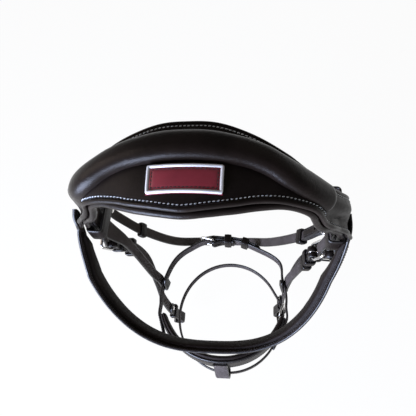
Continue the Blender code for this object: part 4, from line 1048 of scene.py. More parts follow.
def stitch_tree():
    """Lays a stitch at each pitch along a row of edges, its top facing as the row's points say."""
    tree = bpy.data.node_groups.new("stitch_row", "GeometryNodeTree")
    face = tree.interface
    face.new_socket("Geometry", in_out="INPUT", socket_type="NodeSocketGeometry")
    for name in ("Pitch", "Stitch Length", "Thread Width", "Slant"):
        face.new_socket(name, in_out="INPUT", socket_type="NodeSocketFloat")
    face.new_socket("Thread", in_out="INPUT", socket_type="NodeSocketMaterial")
    face.new_socket("Geometry", in_out="OUTPUT", socket_type="NodeSocketGeometry")
    given = add(tree, "NodeGroupInput").outputs
    route = add(tree, "GeometryNodeMeshToCurve", {"Mesh": given["Geometry"]})
    evenly = add(tree, "GeometryNodeResampleCurve", {
        "Curve": route.outputs[0], "Length": given["Pitch"],
    }, mode="LENGTH")
    up = add(tree, "GeometryNodeInputNamedAttribute", {"Name": "row_up"}, data_type="FLOAT_VECTOR")
    tangent = add(tree, "GeometryNodeInputTangent")
    turn = add(tree, "FunctionNodeAxesToRotation", {
        "Primary Axis": up.outputs["Attribute"], "Secondary Axis": tangent.outputs[0],
    }, primary_axis="Z", secondary_axis="X")
    slant = add(tree, "ShaderNodeCombineXYZ", {"Z": given["Slant"]})
    slanted = add(tree, "FunctionNodeRotateRotation", {
        "Rotation": turn.outputs[0], "Rotate By": slant.outputs[0],
    }, rotation_space="LOCAL")
    ball = add(tree, "GeometryNodeMeshUVSphere", {"Segments": 8, "Rings": 5, "Radius": 0.5})
    size = add(tree, "ShaderNodeCombineXYZ", {
        "X": given["Stitch Length"], "Y": given["Thread Width"], "Z": given["Thread Width"],
    })
    laid = add(tree, "GeometryNodeInstanceOnPoints", {
        "Points": evenly.outputs[0], "Instance": ball.outputs["Mesh"], "Rotation": slanted.outputs[0],
        "Scale": size.outputs[0],
    })
    real = add(tree, "GeometryNodeRealizeInstances", {"Geometry": laid.outputs[0]})
    smooth = add(tree, "GeometryNodeSetShadeSmooth", {"Geometry": real.outputs[0]})
    dyed = add(tree, "GeometryNodeSetMaterial", {"Geometry": smooth.outputs[0], "Material": given["Thread"]})
    add(tree, "NodeGroupOutput", {"Geometry": dyed.outputs[0]})
    return tree


STITCHES = stitch_tree()
rows_of_stitches = {}


def stitch_row(body, row, thread_kind="dark"):
    """Keeps a row of (place, the way its stitches face) pairs, to be sewn on a body."""
    rows_of_stitches.setdefault((body, thread_kind), []).append(row)


def sewn_over(body, surface, places, lift, step=MM, thread_kind="dark"):
    """A row on a surface, through (along, across) places, lifted off it and facing away along a step."""
    row = []
    for along, across in places:
        up = (surface(along, across, step) - surface(along, across, 0.0)).normalized()
        row.append((surface(along, across, lift), up))
    stitch_row(body, row, thread_kind)


THREADS = {
    "pale": {
        "Pitch": 3.1 * MM, "Stitch Length": 2.2 * MM, "Thread Width": 1.0 * MM, "Slant": 0.16,
        "Thread": PALE_THREAD,
    },
    "dark": {
        "Pitch": 2.8 * MM, "Stitch Length": 2.3 * MM, "Thread Width": 0.7 * MM, "Slant": 0.16,
        "Thread": DARK_THREAD,
    },
}


def sew_rows():
    """Makes one piece of each body's rows in one thread."""
    for (body, kind), rows in rows_of_stitches.items():
        mesh = bpy.data.meshes.new(f"{body}_{kind}_stitches")
        points, edges, ups = [], [], []
        for row in rows:
            start = len(points)
            points += [place for place, _ in row]
            ups += [up for _, up in row]
            edges += [(start + k, start + k + 1) for k in range(len(row) - 1)]
        mesh.from_pydata(points, edges, [])
        held = mesh.attributes.new("row_up", "FLOAT_VECTOR", "POINT")
        for entry, up in zip(held.data, ups):
            entry.vector = up
        piece = add_object(mesh.name, mesh)
        change = piece.modifiers.new("stitches", "NODES")
        change.node_group = STITCHES
        for item in STITCHES.interface.items_tree:
            if item.in_out == "INPUT" and item.name in THREADS[kind]:
                change[item.identifier] = THREADS[kind][item.name]
        baked(piece)
        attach(piece, body)


def edge_rows(body, line, start, stop, half, out, offset=0.0):
    """Two rows along a strap's edges, on its outer face or, where out is negative, its inner one."""
    count = max(2, math.ceil((stop - start) / ROW_STEP))
    for side in (-1, 1):
        across = side * (half - STRAP_ROW_INSET)
        row = []
        for k in range(count + 1):
            s = start + (stop - start) * k / count
            row.append((line.at(s, offset + out, across), line.frame(s)[2] * math.copysign(1, out)))
        stitch_row(body, row)


# Padded pieces


def puffed(piece, held, cap):
    """Swells a pad with cloth under pressure, held at some points, and caps how far a point moves."""
    group = piece.vertex_groups.new(name="held")
    group.add(held, 1.0, "REPLACE")
    before = [vertex.co.copy() for vertex in piece.data.vertices]
    swell = piece.modifiers.new("swell", "CLOTH")
    cloth = swell.settings
    cloth.quality = 5
    cloth.mass = 0.15
    cloth.tension_stiffness = 12
    cloth.compression_stiffness = 12
    cloth.shear_stiffness = 6
    cloth.bending_stiffness = 0.4
    cloth.use_pressure = True
    cloth.uniform_pressure_force = SWELL_PRESSURE
    cloth.vertex_group_mass = "held"
    cloth.effector_weights.gravity = 0
    swell.collision_settings.use_collision = False
    swell.point_cache.frame_start = 1
    swell.point_cache.frame_end = SWELL_FRAMES
    for step in range(1, SWELL_FRAMES + 1):
        scene.frame_set(step)
    graph = bpy.context.evaluated_depsgraph_get()
    after = [vertex.co.copy() for vertex in piece.evaluated_get(graph).data.vertices]
    piece.modifiers.clear()
    scene.frame_set(1)
    for vertex, old, new in zip(piece.data.vertices, before, after):
        move = new - old
        if move.length > cap:
            move *= cap / move.length
        vertex.co = old + move


# The crown


def arch_table():
    """Rows of (length from the middle, angle) down one side of the arch's ellipse."""
    steps = 180
    table = [(0.0, 0.0)]
    for k in range(1, steps + 1):
        a = math.pi / 2 * (k - 1) / steps
        b = math.pi / 2 * k / steps
        dx = ARCH_HALF_SPAN * (math.sin(b) - math.sin(a))
        dz = ARCH_RISE * (math.cos(a) - math.cos(b))
        table.append((table[-1][0] + math.hypot(dx, dz), b))
    return table


ARCH_TABLE = arch_table()
ARCH_LENGTHS = [row[0] for row in ARCH_TABLE]
ARCH_QUARTER = ARCH_LENGTHS[-1]
CROWN_HALF = ARCH_QUARTER + ARCH_LEG


def arch(s):
    """Point and outward normal in the XZ plane at a length along the arch from its middle."""
    side = math.copysign(1, s)
    away = abs(s)
    flare = eased(ARCH_FLARE, away)
    if away >= ARCH_QUARTER:
        x, z = ARCH_HALF_SPAN, ARCH_TOP - ARCH_RISE - (away - ARCH_QUARTER)
        normal = Vector((1, 0, 0))
    else:
        k = max(1, bisect.bisect_left(ARCH_LENGTHS, away))
        (s0, a0), (s1, a1) = ARCH_TABLE[k - 1], ARCH_TABLE[k]
        angle = a0 + (a1 - a0) * (away - s0) / (s1 - s0)
        x = ARCH_HALF_SPAN * math.sin(angle)
        z = ARCH_TOP - ARCH_RISE * (1 - math.cos(angle))
        normal = Vector((math.sin(angle) / ARCH_HALF_SPAN, 0, math.cos(angle) / ARCH_RISE)).normalized()
    return Vector(((x + flare) * side, 0, z)), Vector((normal.x * side, 0, normal.z))


def crown_edges(s):
    """Front and rear edge of the crown's leather at a length along the arch."""
    at = abs(s) / CROWN_HALF * CROWN_FRONT[-1][0]
    return interpolate(CROWN_FRONT, at) * MM, interpolate(CROWN_REAR, at) * MM


def crown_point(s, y, height):
    """A point over the crown's outer face, which falls away a little towards both edges."""
    front, rear = crown_edges(s)
    share = max(-1.15, min(1.15, (y - (front + rear) / 2) / ((rear - front) / 2)))
    level = 1 - min(1.0, abs(s) / CROWN_HALF) ** 2
    point, normal = arch(s)
    sink = CROWN_CAMBER * share * share * level
    if share < 0:
        sink += eased(END_TURN, abs(s)) * share * share
    else:
        sink -= eased(REAR_LIFT, abs(s)) * min(1.0, share) ** 4
    return settled(Vector((point.x, y, point.z)) + normal * (height - sink))


def crown_row(row, s):
    """Where a row across the crown lies at a length along the arch."""
    return interpolate(row, abs(s) / CROWN_HALF * CROWN_FRONT[-1][0]) * MM


def even(half, count):
    """Even places from -half to half."""
    return [half * (2 * k / count - 1) for k in range(count + 1)]


def ended(half, count, radius):
    """Even places from -half to half, with closer ones inside a radius of both ends."""
    steps = 6
    places = set(even(half, count))
    for k in range(1, steps + 1):
        near = half - radius * (1 - math.cos(math.pi / 2 * k / steps))
        places.update((near, -near))
    kept = []
    for place in sorted(places):
        if not kept or place - kept[-1] > 0.05 * MM:
            kept.append(place)
    return kept


def crown_cover():
    """The visible leather of the crown, with a channel for each row of stitches."""
    rim = CROWN_LEATHER * 0.45
    beside = 0.35 * MM
    near = [rim, 1.6 * MM, STITCH_INSET - beside, STITCH_INSET, STITCH_INSET + beside, 3.4 * MM, 5 * MM]
    row_step = near.index(STITCH_INSET)
    rings = []
    for s in ended(CROWN_HALF, 150, CROWN_CORNER):
        front, rear = crown_row(FRONT_ROW, s) - STITCH_INSET, crown_row(REAR_ROW, s) + STITCH_INSET
        corner = CROWN_CORNER * (1 - rounding(CROWN_HALF - abs(s), CROWN_CORNER))
        front, rear = front + corner, rear - corner
        span = min(1.0, (rear - front) / (14 * MM))
        steps = [d * span for d in near]
        middle_from, middle_to = front + steps[-1], rear - steps[-1]
        across = [front + d for d in steps]
        across += [middle_from + (middle_to - middle_from) * k / 16 for k in range(1, 16)]
        across += [rear - d for d in reversed(steps)]
        ring = []
        for y in across:
            from_row = min(abs(y - front - steps[row_step]), abs(y - rear + steps[row_step]))
            groove = STITCH_GROOVE * math.exp(-((from_row / STITCH_GROOVE_WIDTH) ** 2))
            ring.append(crown_point(s, y, -groove))
        for k in range(1, 6):
            angle = math.pi * (0.5 - k / 6)
            height = -CROWN_LEATHER / 2 * (1 - math.sin(angle))
            ring.append(crown_point(s, rear - rim + rim * math.cos(angle), height))
        for k in range(11):
            ring.append(crown_point(s, rear - rim - (rear - front - 2 * rim) * k / 10, -CROWN_LEATHER))
        for k in range(1, 6):
            angle = math.pi * (-0.5 - k / 6)
            height = -CROWN_LEATHER / 2 * (1 - math.sin(angle))
            ring.append(crown_point(s, front + rim + rim * math.cos(angle), height))
        rings.append(ring)
    count = 2 * len(near) + 15
    zones = [FACE] * (count - 1) + [CUT] * 6 + [BACK] * 10 + [CUT] * 6
    piece = skin("crown_cover_leather", rings, STRAP_FINISH, zones)
    for row in (FRONT_ROW, REAR_ROW):
        places = [(s, crown_row(row, s)) for s in even(CROWN_HALF - 4 * MM, 120)]
        sewn_over("crown", crown_point, places, CROWN_THREAD_LIFT, thread_kind="pale")
    return set_down(piece, "crown", "black_leather", "crown_cover")


def pad_rim(s, edge, proud, middle, half_height):
    """Points round an edge of the crown's pad, from its top to its bottom."""
    rim = []
    for k in range(1, 12):
        angle = math.pi * (0.5 - k / 12)
        out = proud * math.cos(angle) ** 0.8
        rim.append(crown_point(s, edge + out, middle + half_height * math.sin(angle)))
    return rim


def crown_padding():
    """The soft pad under the leather, proud of it along the front and rear, flat in the middle below."""
    half = CROWN_HALF - PAD_SHORT_OF_LEATHER
    top, bottom = -CROWN_LEATHER - 2 * GAP, -CROWN_LEATHER - GAP - PAD_THICKNESS
    middle = (top + bottom) / 2
    rings, held = [], []
    for s in ended(half, 110, PAD_END_RADIUS):
        front, rear = crown_row(PAD_EDGE, s) + PAD_PROUD + PAD_INSIDE_EDGE, crown_row(REAR_ROW, s)
        squash = 0.35 + 0.65 * rounding(half - abs(s), PAD_END_RADIUS)
        half_height = (top - middle) * squash
        ring = []
        for j in range(17):
            ring.append(crown_point(s, front + (rear - front) * j / 16, top - (1 - squash) * MM))
        flat = list(range(len(ring)))
        ring += pad_rim(s, rear, eased(PAD_REAR_PROUD, abs(s)) * squash, middle, half_height)
        for j in range(17):
            y = rear - (rear - front) * j / 16
            point = crown_point(s, y, middle - half_height)
            if abs(s) <= SEAT_HALF_LENGTH and abs(y) <= SEAT_HALF_WIDTH:
                point.z = 0.0
                flat.append(len(ring))
            ring.append(point)
        ring += reversed(pad_rim(s, front, -PAD_PROUD * squash, middle, half_height))
        held += [len(rings) * len(ring) + k for k in flat]
        rings.append(ring)
    piece = skin("crown_padding_nappa", rings, [NAPPA], sharp=70)
    puffed(piece, held, PAD_SWELL)
    points = []
    for s in even(CROWN_HALF - PAD_END_RADIUS, 160):
        points.append(crown_point(s, crown_row(PAD_EDGE, s) + PAD_BEAD, middle))

    def slimmer(share):
        return min(1.0, 0.8 + 4 * min(share, 1 - share))

    joined(piece, tube("crown_padding_bead", points, PAD_BEAD, [NAPPA], taper=slimmer))
    return set_down(piece, "crown", "soft_padding", "crown_padding")


def crown_roll():
    """The stuffed roll along the crest, with rounded ends."""
    count = 130
    rings, held = [], []
    for i in range(count + 1):
        along = ROLL_HALF_LENGTH * math.sin((2 * i / count - 1) * math.pi / 2)
        s = along + ROLL_SHIFT
        middle = interpolate(ROLL_LINE, abs(s) / ROLL_HALF_LENGTH * ROLL_LINE[-1][0]) * MM
        end_height, end_width, end_radius = ROLL_ENDS[1 if s > 0 else -1]
        size = max(0.06, rounding(ROLL_HALF_LENGTH - abs(along), end_radius))
        height = eased([(ROLL_HALF_LENGTH / 2, ROLL_HEIGHT), (ROLL_HALF_LENGTH, end_height)], abs(along))
        widths = [(ROLL_HALF_LENGTH * 0.6, ROLL_HALF_WIDTH), (ROLL_HALF_LENGTH, end_width)]
        wide = size * eased(widths, abs(along))
        rear_share = eased(ROLL_REAR, abs(s))
        ring = []
        for k in range(29):
            angle = math.pi * k / 28
            across = -math.copysign(abs(math.cos(angle)) ** ROLL_FLATNESS, math.cos(angle))
            y = middle + wide * across * (rear_share if across > 0 else 1)
            rise = height * size * max(0.0, math.sin(angle)) ** ROLL_FLATNESS
            ring.append(crown_point(s, y, ROLL_SEAT + rise))
        flat = [0, 28]
        for share in (0.75, 0.4, 0.0, -0.4, -0.75):
            flat.append(len(ring))
            ring.append(crown_point(s, middle + wide * share, 0.1 * MM))
        held += [len(rings) * len(ring) + k for k in flat]
        rings.append(ring)
    piece = skin("crown_roll_nappa", rings, [NAPPA], sharp=70)
    puffed(piece, held, ROLL_SWELL)
    return set_down(piece, "crown", "black_leather", "crown_roll")


def crown_piping(which):
    """The rolled edge of the crown's leather, along its front or rear."""
    beyond, height, radius = ROLLED_EDGE[which]
    row = FRONT_ROW if which == "front" else REAR_ROW
    points = [crown_point(s, crown_row(row, s) + beyond, height) for s in even(CROWN_HALF - radius, 160)]
    piece = tube(f"crown_{which}_piping_nappa", points, radius, [NAPPA], sides=18)
    return set_down(piece, "crown", "black_leather", f"crown_{which}_piping")


def plate_outline(inset):
    """Points round the plate, its corners rounded, as (length along the arch, place across it)."""
    half_length, half_width = BADGE_LENGTH / 2 - inset, BADGE_WIDTH / 2 - inset
    corner = max(0.3 * MM, BADGE_CORNER - inset)
    outline = []
    for right, rear, start in ((1, -1, -90), (1, 1, 0), (-1, 1, 90), (-1, -1, 180)):
        for k in range(6):
            angle = math.radians(start + 90 * k / 5)
            s = right * (half_length - corner) + corner * math.cos(angle)
            y = rear * (half_width - corner) + corner * math.sin(angle)
            outline.append((BADGE_SHIFT + s, BADGE_MIDDLE + y))
    finer_outline = []
    for k, (s, y) in enumerate(outline):
        s1, y1 = outline[(k + 1) % len(outline)]
        steps = max(1, math.ceil(math.hypot(s1 - s, y1 - y) / (3 * MM)))
        finer_outline += [(s + (s1 - s) * j / steps, y + (y1 - y) * j / steps) for j in range(steps)]
    return finer_outline


def badge_border():
    """The plate's metal frame, with a rounded top and a bevelled inner side."""
    base, top = BADGE_LIFT + BADGE_BASE, BADGE_LIFT + BADGE_HEIGHT
    profile = [
        (0.0, base), (0.0, top - 0.7 * MM), (0.2 * MM, top - 0.25 * MM), (0.6 * MM, top), (1.3 * MM, top),
        (1.8 * MM, top - 0.2 * MM), (BADGE_BORDER, top - 0.75 * MM), (BADGE_BORDER, base),
    ]
    outlines = [plate_outline(inset) for inset, _ in profile]
    count = min(len(outline) for outline in outlines)
    rings = []
    for k in range(count):
        ring = []
        for outline, (_, height) in zip(outlines, profile):
            ring.append(crown_point(*plate_at(outline, k / count), height))
        rings.append(ring)
    piece = skin("badge_border_steel", rings, [SILVER], closed=True, sharp=50)
    return set_down(piece, "crown", "stainless_steel", "badge_border")


def plate_at(outline, share):
    """The point of an outline at a share of its way round."""
    at = share * len(outline)
    k = int(at) % len(outline)
    (s0, y0), (s1, y1) = outline[k], outline[(k + 1) % len(outline)]
    part = at - int(at)
    return s0 + (s1 - s0) * part, y0 + (y1 - y0) * part


def badge_insert():
    """The red leather of the plate: a base that shows below the frame, and a padded face inside it."""
    base_top = BADGE_LIFT + BADGE_BASE - 0.05 * MM
    levels = [
        (INSERT_BULGE, BADGE_LIFT),
        (-INSERT_BULGE, BADGE_LIFT + 0.4 * MM),
        (INSERT_BULGE, base_top),
        (BADGE_BORDER, base_top),
        (BADGE_BORDER + INSERT_BULGE, BADGE_LIFT + 1.5 * MM),
    ]
    innermost = BADGE_WIDTH / 2 - BADGE_BORDER - 0.02 * MM
    for inset in (*INSERT_INSETS, innermost):
        channel = INSERT_CHANNEL * math.exp(-(((inset - INSERT_ROW) / INSERT_CHANNEL_WIDTH) ** 2))
        fall = INSERT_ROUNDING * math.exp(-inset / INSERT_ROUNDING_WIDTH)
        levels.append((BADGE_BORDER + inset, BADGE_LIFT + INSERT_FACE - channel - fall))
    rings = []
    for inset, height in levels:
        rings.append([crown_point(*box_walk(inset, k / 160), height) for k in range(160)])
    piece = skin("badge_insert_leather", rings, [RED], sharp=40)
    places = [box_walk(BADGE_BORDER + INSERT_ROW, k / 120) for k in range(121)]
    sewn_over("crown", crown_point, places, BADGE_LIFT + INSERT_THREAD)
    return set_down(piece, "crown", "red_insert", "badge_insert")


def box_walk(inset, share):
    """The point at a share of the way round a rectangle inside the plate's outline."""
    half_length, half_width = BADGE_LENGTH / 2 - inset, BADGE_WIDTH / 2 - inset
    long, wide = 2 * half_length, 2 * half_width
    turn = share % 1 * 2 * (long + wide)
    if turn < long:
        along, across = turn - half_length, -half_width
    elif turn < long + wide:
        along, across = half_length, turn - long - half_width
    elif turn < 2 * long + wide:
        along, across = half_length - (turn - long - wide), half_width
    else:
        along, across = -half_length, half_width - (turn - 2 * long - wide)
    return BADGE_SHIFT + along, BADGE_MIDDLE + across


def side_name(side):
    return "right" if side > 0 else "left"


def tab_point(side, s, y, out):
    """A point off a tab's middle surface, inside the crown's leather at a length along the arch."""
    point, normal = arch(s * side)
    inside = CROWN_LEATHER + TAB_ROOM + TAB_THICKNESS / 2
    return settled(Vector((point.x, y, point.z)) - normal * (inside - out))


def tab_edges(s):
    """Front and rear edge of a tab."""
    top, bottom = CROWN_HALF - TAB_UNDER_CROWN, CROWN_HALF + TAB_LENGTH
    share = min(1.0, (s - top) / (bottom - top) / 0.75)
    corner = TAB_CORNER * (1 - rounding(bottom - s, TAB_CORNER))
    return TAB_FRONT + corner, TAB_REAR_TOP + (TAB_REAR - TAB_REAR_TOP) * share - corner


def crown_tab(side):
    """The wide tab under the end of the crown, from which the straps hang."""
    top, bottom = CROWN_HALF - TAB_UNDER_CROWN, CROWN_HALF + TAB_LENGTH
    stations = [top + (bottom - top) * k / 24 for k in range(25)]
    stations += [bottom - TAB_CORNER * (1 - math.cos(math.pi / 2 * k / 7)) for k in range(1, 7)]
    rings = []
    for s in sorted(stations):
        front, rear = tab_edges(s)
        middle = (front + rear) / 2
        profile = section((rear - front) / 2, TAB_THICKNESS)
        rings.append([tab_point(side, s, middle + a, o) for a, o, _ in profile])
    name = side_name(side)
    piece = skin(f"crown_tab_{name}_leather", rings, STRAP_FINISH, finishes(profile))
    surface = functools.partial(tab_point, side)
    sewn = [top + TAB_CORNER + (bottom - top - 2 * TAB_CORNER) * k / 20 for k in range(21)]
    for which, inwards in ((0, 1), (1, -1)):
        places = [(s, tab_edges(s)[which] + inwards * TAB_ROW_INSET) for s in sewn]
        for out in (1, -1):
            sewn_over("crown", surface, places, out * (TAB_THICKNESS / 2 + BAND_THREAD_LIFT), out * MM)
    return set_down(piece, "crown", "black_leather", f"crown_tab_{name}")


# The browband


def tab_x():
    """How far out the tabs' middle surfaces lie."""
    return ARCH_HALF_SPAN + ARCH_FLARE[-1][1] - CROWN_LEATHER - TAB_ROOM - TAB_THICKNESS / 2


def brow_loop_middle():
    """The level of the middle of the browband's loops."""
    return arch(CROWN_HALF + BROW_LOOP_BELOW_CROWN)[0].z


def browband_loop(side):
    """A flat loop round the tab and the strap inside it, long enough to tilt on them."""
    inner = TAB_THICKNESS / 2 + BROW_LOOP_INSIDE + BROW_LOOP_LEATHER / 2
    outer = TAB_THICKNESS / 2 + RUNNER_GAP + BROW_LOOP_LEATHER / 2
    front = TAB_FRONT - BROW_LOOP_ROOM - BROW_LOOP_LEATHER / 2
    rear = TAB_REAR + BROW_LOOP_ROOM + BROW_LOOP_LEATHER / 2
    corner = BROW_LOOP_CORNER
    level = UP * brow_loop_middle()
    outline = []
    for px, py, start in ((outer, rear, 0), (-inner, rear, 90), (-inner, front, 180), (outer, front, 270)):
        for k in range(7):
            angle = math.radians(start + 15 * k)
            cx = px - math.copysign(corner, px) + corner * math.cos(angle)
            cy = py - math.copysign(corner, py - (front + rear) / 2) + corner * math.sin(angle)
            outline.append(settled(Vector(((tab_x() + cx) * side, cy, 0)) + level))
    node = f"browband_loop_{side_name(side)}"
    piece = leather_loop(f"{node}_leather", outline, UP, BROW_LOOP_HEIGHT / 2, BROW_LOOP_LEATHER)
    return set_down(piece, "browband", "black_leather", node)


def brow_frame(angle, across, normal):
    """A point of the browband at an angle round its front, across its width and out from its inner face."""
    start_y = TAB_FRONT - BROW_LOOP_ROOM - BROW_LOOP_LEATHER - GAP
    half_span = tab_x() + BROW_OUTSIDE
    forward = BROW_DEPTH * math.cos(angle) ** 1.15
    flat = Vector((half_span * math.copysign(abs(math.sin(angle)) ** BROW_FULLNESS, angle), -forward, 0))
    ahead = Vector((half_span * math.cos(angle), BROW_DEPTH * math.sin(angle), 0))
    if abs(angle) > math.radians(89.9):
        ahead = Vector((0, math.copysign(1, angle), 0))
    out = Vector((ahead.y, -ahead.x, 0)).normalized()
    share = min(1.0, forward / (BROW_DEPTH * 0.3))
    tilt = Matrix.Rotation(BROW_TILT, 3, "X")
    stand = Matrix.Rotation(BROW_LEAN * share, 3, "X") @ UP
    place = tilt @ flat + Matrix.Rotation(BROW_TILT * share, 3, "X") @ (out * normal) + stand * across
    place = place + Vector((0, start_y, brow_loop_middle()))
    if angle < 0:
        place.x -= eased(BROW_SPREAD, -angle)
    return settled(place).lerp(place, share)


def brow_end(side, profile):
    """Rings of the band's end past its loop, from the loop to its tip."""
    route = smooth_points([Vector(point) * MM for point in BROW_ENDS[side]], BROW_END_STEPS)
    rings = []
    for k in range(1, BROW_END_STEPS + 1):
        share = k / BROW_END_STEPS
        stand = Matrix.Rotation(BROW_END_LEAN * share, 3, "X") @ UP
        width = (BROW_WIDTH + (BROW_END_WIDTH - BROW_WIDTH) * share) * max(0.3, rounding(1 - share, 0.3))
        ring = []
        for across, normal, _ in profile:
            back = width * (0.5 - across / BROW_WIDTH)
            out = Vector((side * (normal - BROW_LEATHER / 2), 0, 0))
            ring.append(settled(route[k] - stand * back + out))
        rings.append(ring)
    return rings


def brow_angles(count):
    return [math.radians(-90 + 180 * k / count) for k in range(count + 1)]


def browband_leather():
    """The band over the forehead, with a row of stitches along each edge."""
    profile = section(BROW_WIDTH / 2, BROW_LEATHER)
    rings = brow_end(-1, profile)[::-1]
    for angle in brow_angles(150):
        rings.append([brow_frame(angle, a, BROW_LEATHER / 2 + o) for a, o, _ in profile])
    rings += brow_end(1, profile)
    piece = skin("browband_leather_grain", rings, STRAP_FINISH, finishes(profile))
    for side in (-1, 1):
        across = side * (BROW_WIDTH / 2 - BAND_ROW_INSET)
        places = [(angle, across) for angle in brow_angles(150)[2:-2]]
        sewn_over("browband", brow_frame, places, BROW_LEATHER + BAND_THREAD_LIFT, BROW_LEATHER)
    return set_down(piece, "browband", "black_leather", "browband_leather")


def browband_padding():
    """A soft pad inside the band, full in the middle of its width."""
    face = 2 * GAP
    profile = [(a * MM, d * MM) for a, d in BROW_PROFILE]
    profile += [(-a, d) for a, d in reversed(profile[:-1])]
    widest = profile[0][0]
    rings, held = [], []
    for angle in brow_angles(130):
        taper = min(1.0, (math.pi / 2 - abs(angle)) / 0.12 + 0.45)
        narrow = 0.8 + 0.2 * taper
        ring = [brow_frame(angle, place, -face) for place in even(widest * narrow * 0.92, 8)]
        for a, depth in profile:
            ring.append(brow_frame(angle, a * narrow, -face - depth * taper))
        flat = [*range(17), *range(len(ring) - 8, len(ring))]
        held += [len(rings) * len(ring) + k for k in flat]
        rings.append(ring)
    last = len(rings) - 1
    held += [row * len(rings[0]) + k for row in (0, last) for k in range(len(rings[0]))]
    piece = skin("browband_padding_lining", rings, [LINING], sharp=70)
    puffed(piece, sorted(set(held)), PAD_SWELL)
    for across in (BROW_MARGIN_ROW, -BROW_MARGIN_ROW):
        places = [(angle, across) for angle in brow_angles(150)[6:-6]]
        sewn_over("browband", brow_frame, places, -face - BROW_MARGIN_DEPTH, -MM)
    return set_down(piece, "browband", "soft_padding", "browband_padding")


# The straps that hang from the tabs


def buckle_set(prefix, suffix, line, kind, buckle, body, runner_at, fixed_at=None):
    """Frame, tongue, fixed keeper and runner of one buckle, each on its own body."""
    frame_piece = buckle_frame(f"{prefix}_buckle{suffix}_steel", line, kind, buckle)
    set_down(frame_piece, body, "stainless_steel", f"{prefix}_buckle{suffix}")
    moving = tongue(f"{prefix}_tongue{suffix}_steel", line, kind, buckle)
    set_down(moving, f"{prefix}_tongue{suffix}", "stainless_steel", f"{prefix}_tongue{suffix}")
    if fixed_at is not None:
        loop = keeper(f"{prefix}_keeper{suffix}_leather", line, kind, buckle + fixed_at, 1, 1)
        set_down(loop, body, "black_leather", f"{prefix}_keeper{suffix}")
    if runner_at is not None:
        loop = keeper(f"{prefix}_runner{suffix}_leather", line, kind, buckle + runner_at, 0, 1, RUNNER_GAP)
        set_down(loop, f"{prefix}_runner{suffix}", "black_leather", f"{prefix}_runner{suffix}")


def chape_rows(body, line, kind, buckle):
    """Stitches through both layers of a folded end."""
    half = kind["width"] / 2
    out = kind["leather"] / 2 + STRAP_THREAD_LIFT
    start, stop = buckle + 9 * MM, buckle + CHAPE_LENGTH - 2 * MM
    edge_rows(body, line, start, stop, half, out)
    edge_rows(body, line, start, stop, half, -out, -(kind["leather"] + GAP))


def cheek_stations(line, kind):
    """Folded round the buckle, down the cheek, round the bit's loop and back up inside."""
    down = line.length
    stations = chape_stations(kind, CHEEK_BUCKLE)
    stations += spread(CHEEK_BUCKLE + CHAPE_LENGTH, CHEEK_BILLET, 12)
    stations += spread(CHEEK_BILLET + 12 * MM, down - BIT_RETURN, 6)
    stations += spread(down - BIT_RETURN + 12 * MM, down - 3 * BIT_LOOP_RADIUS, 2)
    inner = -(kind["leather"] + GAP)
    middle = inner / 2
    stations.append((down - 2 * BIT_LOOP_RADIUS, 0.2 * BIT_LOOP_RADIUS))
    steps = 8
    for k in range(steps + 1):
        angle = math.radians(20 + 140 * k / steps - 90)
        below = BIT_LOOP_RADIUS * (math.cos(angle) - 0.35)
        stations.append((down + below, middle - BIT_LOOP_RADIUS * math.sin(angle)))
    stations.append((down - 2 * BIT_LOOP_RADIUS, inner - 0.2 * BIT_LOOP_RADIUS))
    stations += spread(down - 3 * BIT_LOOP_RADIUS, down - BIT_RETURN, 3, lambda s: inner)
    return stations


def stud(name, line, s, inside):
    """A domed head standing on the inner face of a strap."""
    width, tangent, outward = line.frame(s)
    base = line.place(s) + outward * inside
    profile = [(1.0, 0.0), (1.0, 0.25), (0.96, 0.5), (0.82, 0.78), (0.6, 0.93), (0.32, 0.99), (0.08, 1.0)]
    rings = []
    for size, height in profile:
        middle = base - outward * STUD_HEIGHT * height
        ring = []
        for k in range(28):
            angle = 2 * math.pi * k / 28
            ring.append(middle + STUD_RADIUS * size * (width * math.cos(angle) + tangent * math.sin(angle)))
        rings.append(ring)
    return skin(name, rings, [STEEL], sharp=45)


def make_cheek(side):
    suffix = "_" + side_name(side)
    body = "cheek" + suffix
    line = smooth_line(CHEEK_TOP + (CHEEK_RIGHT if side > 0 else CHEEK_LEFT), side, (0, side, 0))
    kind = CHEEK
    top = billet(f"cheek_billet{suffix}_leather", line, kind, CHEEK_BUCKLE, CHEEK_BILLET)
    set_down(top, body, "black_leather", f"cheek_billet{suffix}")
    stations = cheek_stations(line, kind)
    lower = strap(f"cheek_strap{suffix}_leather", line, stations, kind["width"], kind["leather"])
    punched(lower, [tongue_slot(line, kind, CHEEK_BUCKLE)])
    set_down(lower, body, "black_leather", f"cheek_strap{suffix}")
    loop_at = line.length - 3 * BIT_LOOP_RADIUS - BIT_KEEPER_UP
    loop = keeper(f"cheek_bit_keeper{suffix}_leather", line, kind, loop_at, 1, 0)
    set_down(loop, body, "black_leather", f"cheek_bit_keeper{suffix}")
    buckle_set("cheek", suffix, line, kind, CHEEK_BUCKLE, body, CHEEK_RUNNER_AT, CHEEK_KEEPER_AT)
    inside = -1.5 * kind["leather"] - GAP
    hook = stud(f"cheek_hook_stud{suffix}_steel", line, line.length - BIT_RETURN + HOOK_STUD_DOWN, inside)
    set_down(hook, body, "stainless_steel", f"cheek_hook_stud{suffix}")
    chape_rows(body, line, kind, CHEEK_BUCKLE)


def hanger_end(line, start, count):
    """Down outside the ring's strap, under it and up inside."""
    kind = HANGER
    pitch = CHIN["leather"] / 2 + HANGER_ROOM + kind["leather"] / 2
    foot = line.length + CHIN["width"] / 2 + kind["leather"] / 2 + HANGER_SLACK
    stations = spread(start, line.length, count)
    steps = 8
    for k in range(steps + 1):
        angle = math.pi * k / steps
        stations.append((foot - pitch + pitch * math.sin(angle), -pitch + pitch * math.cos(angle)))
    stations += [(line.length, -2 * pitch), (line.length - 12 * MM, -2 * pitch)]
    return stations


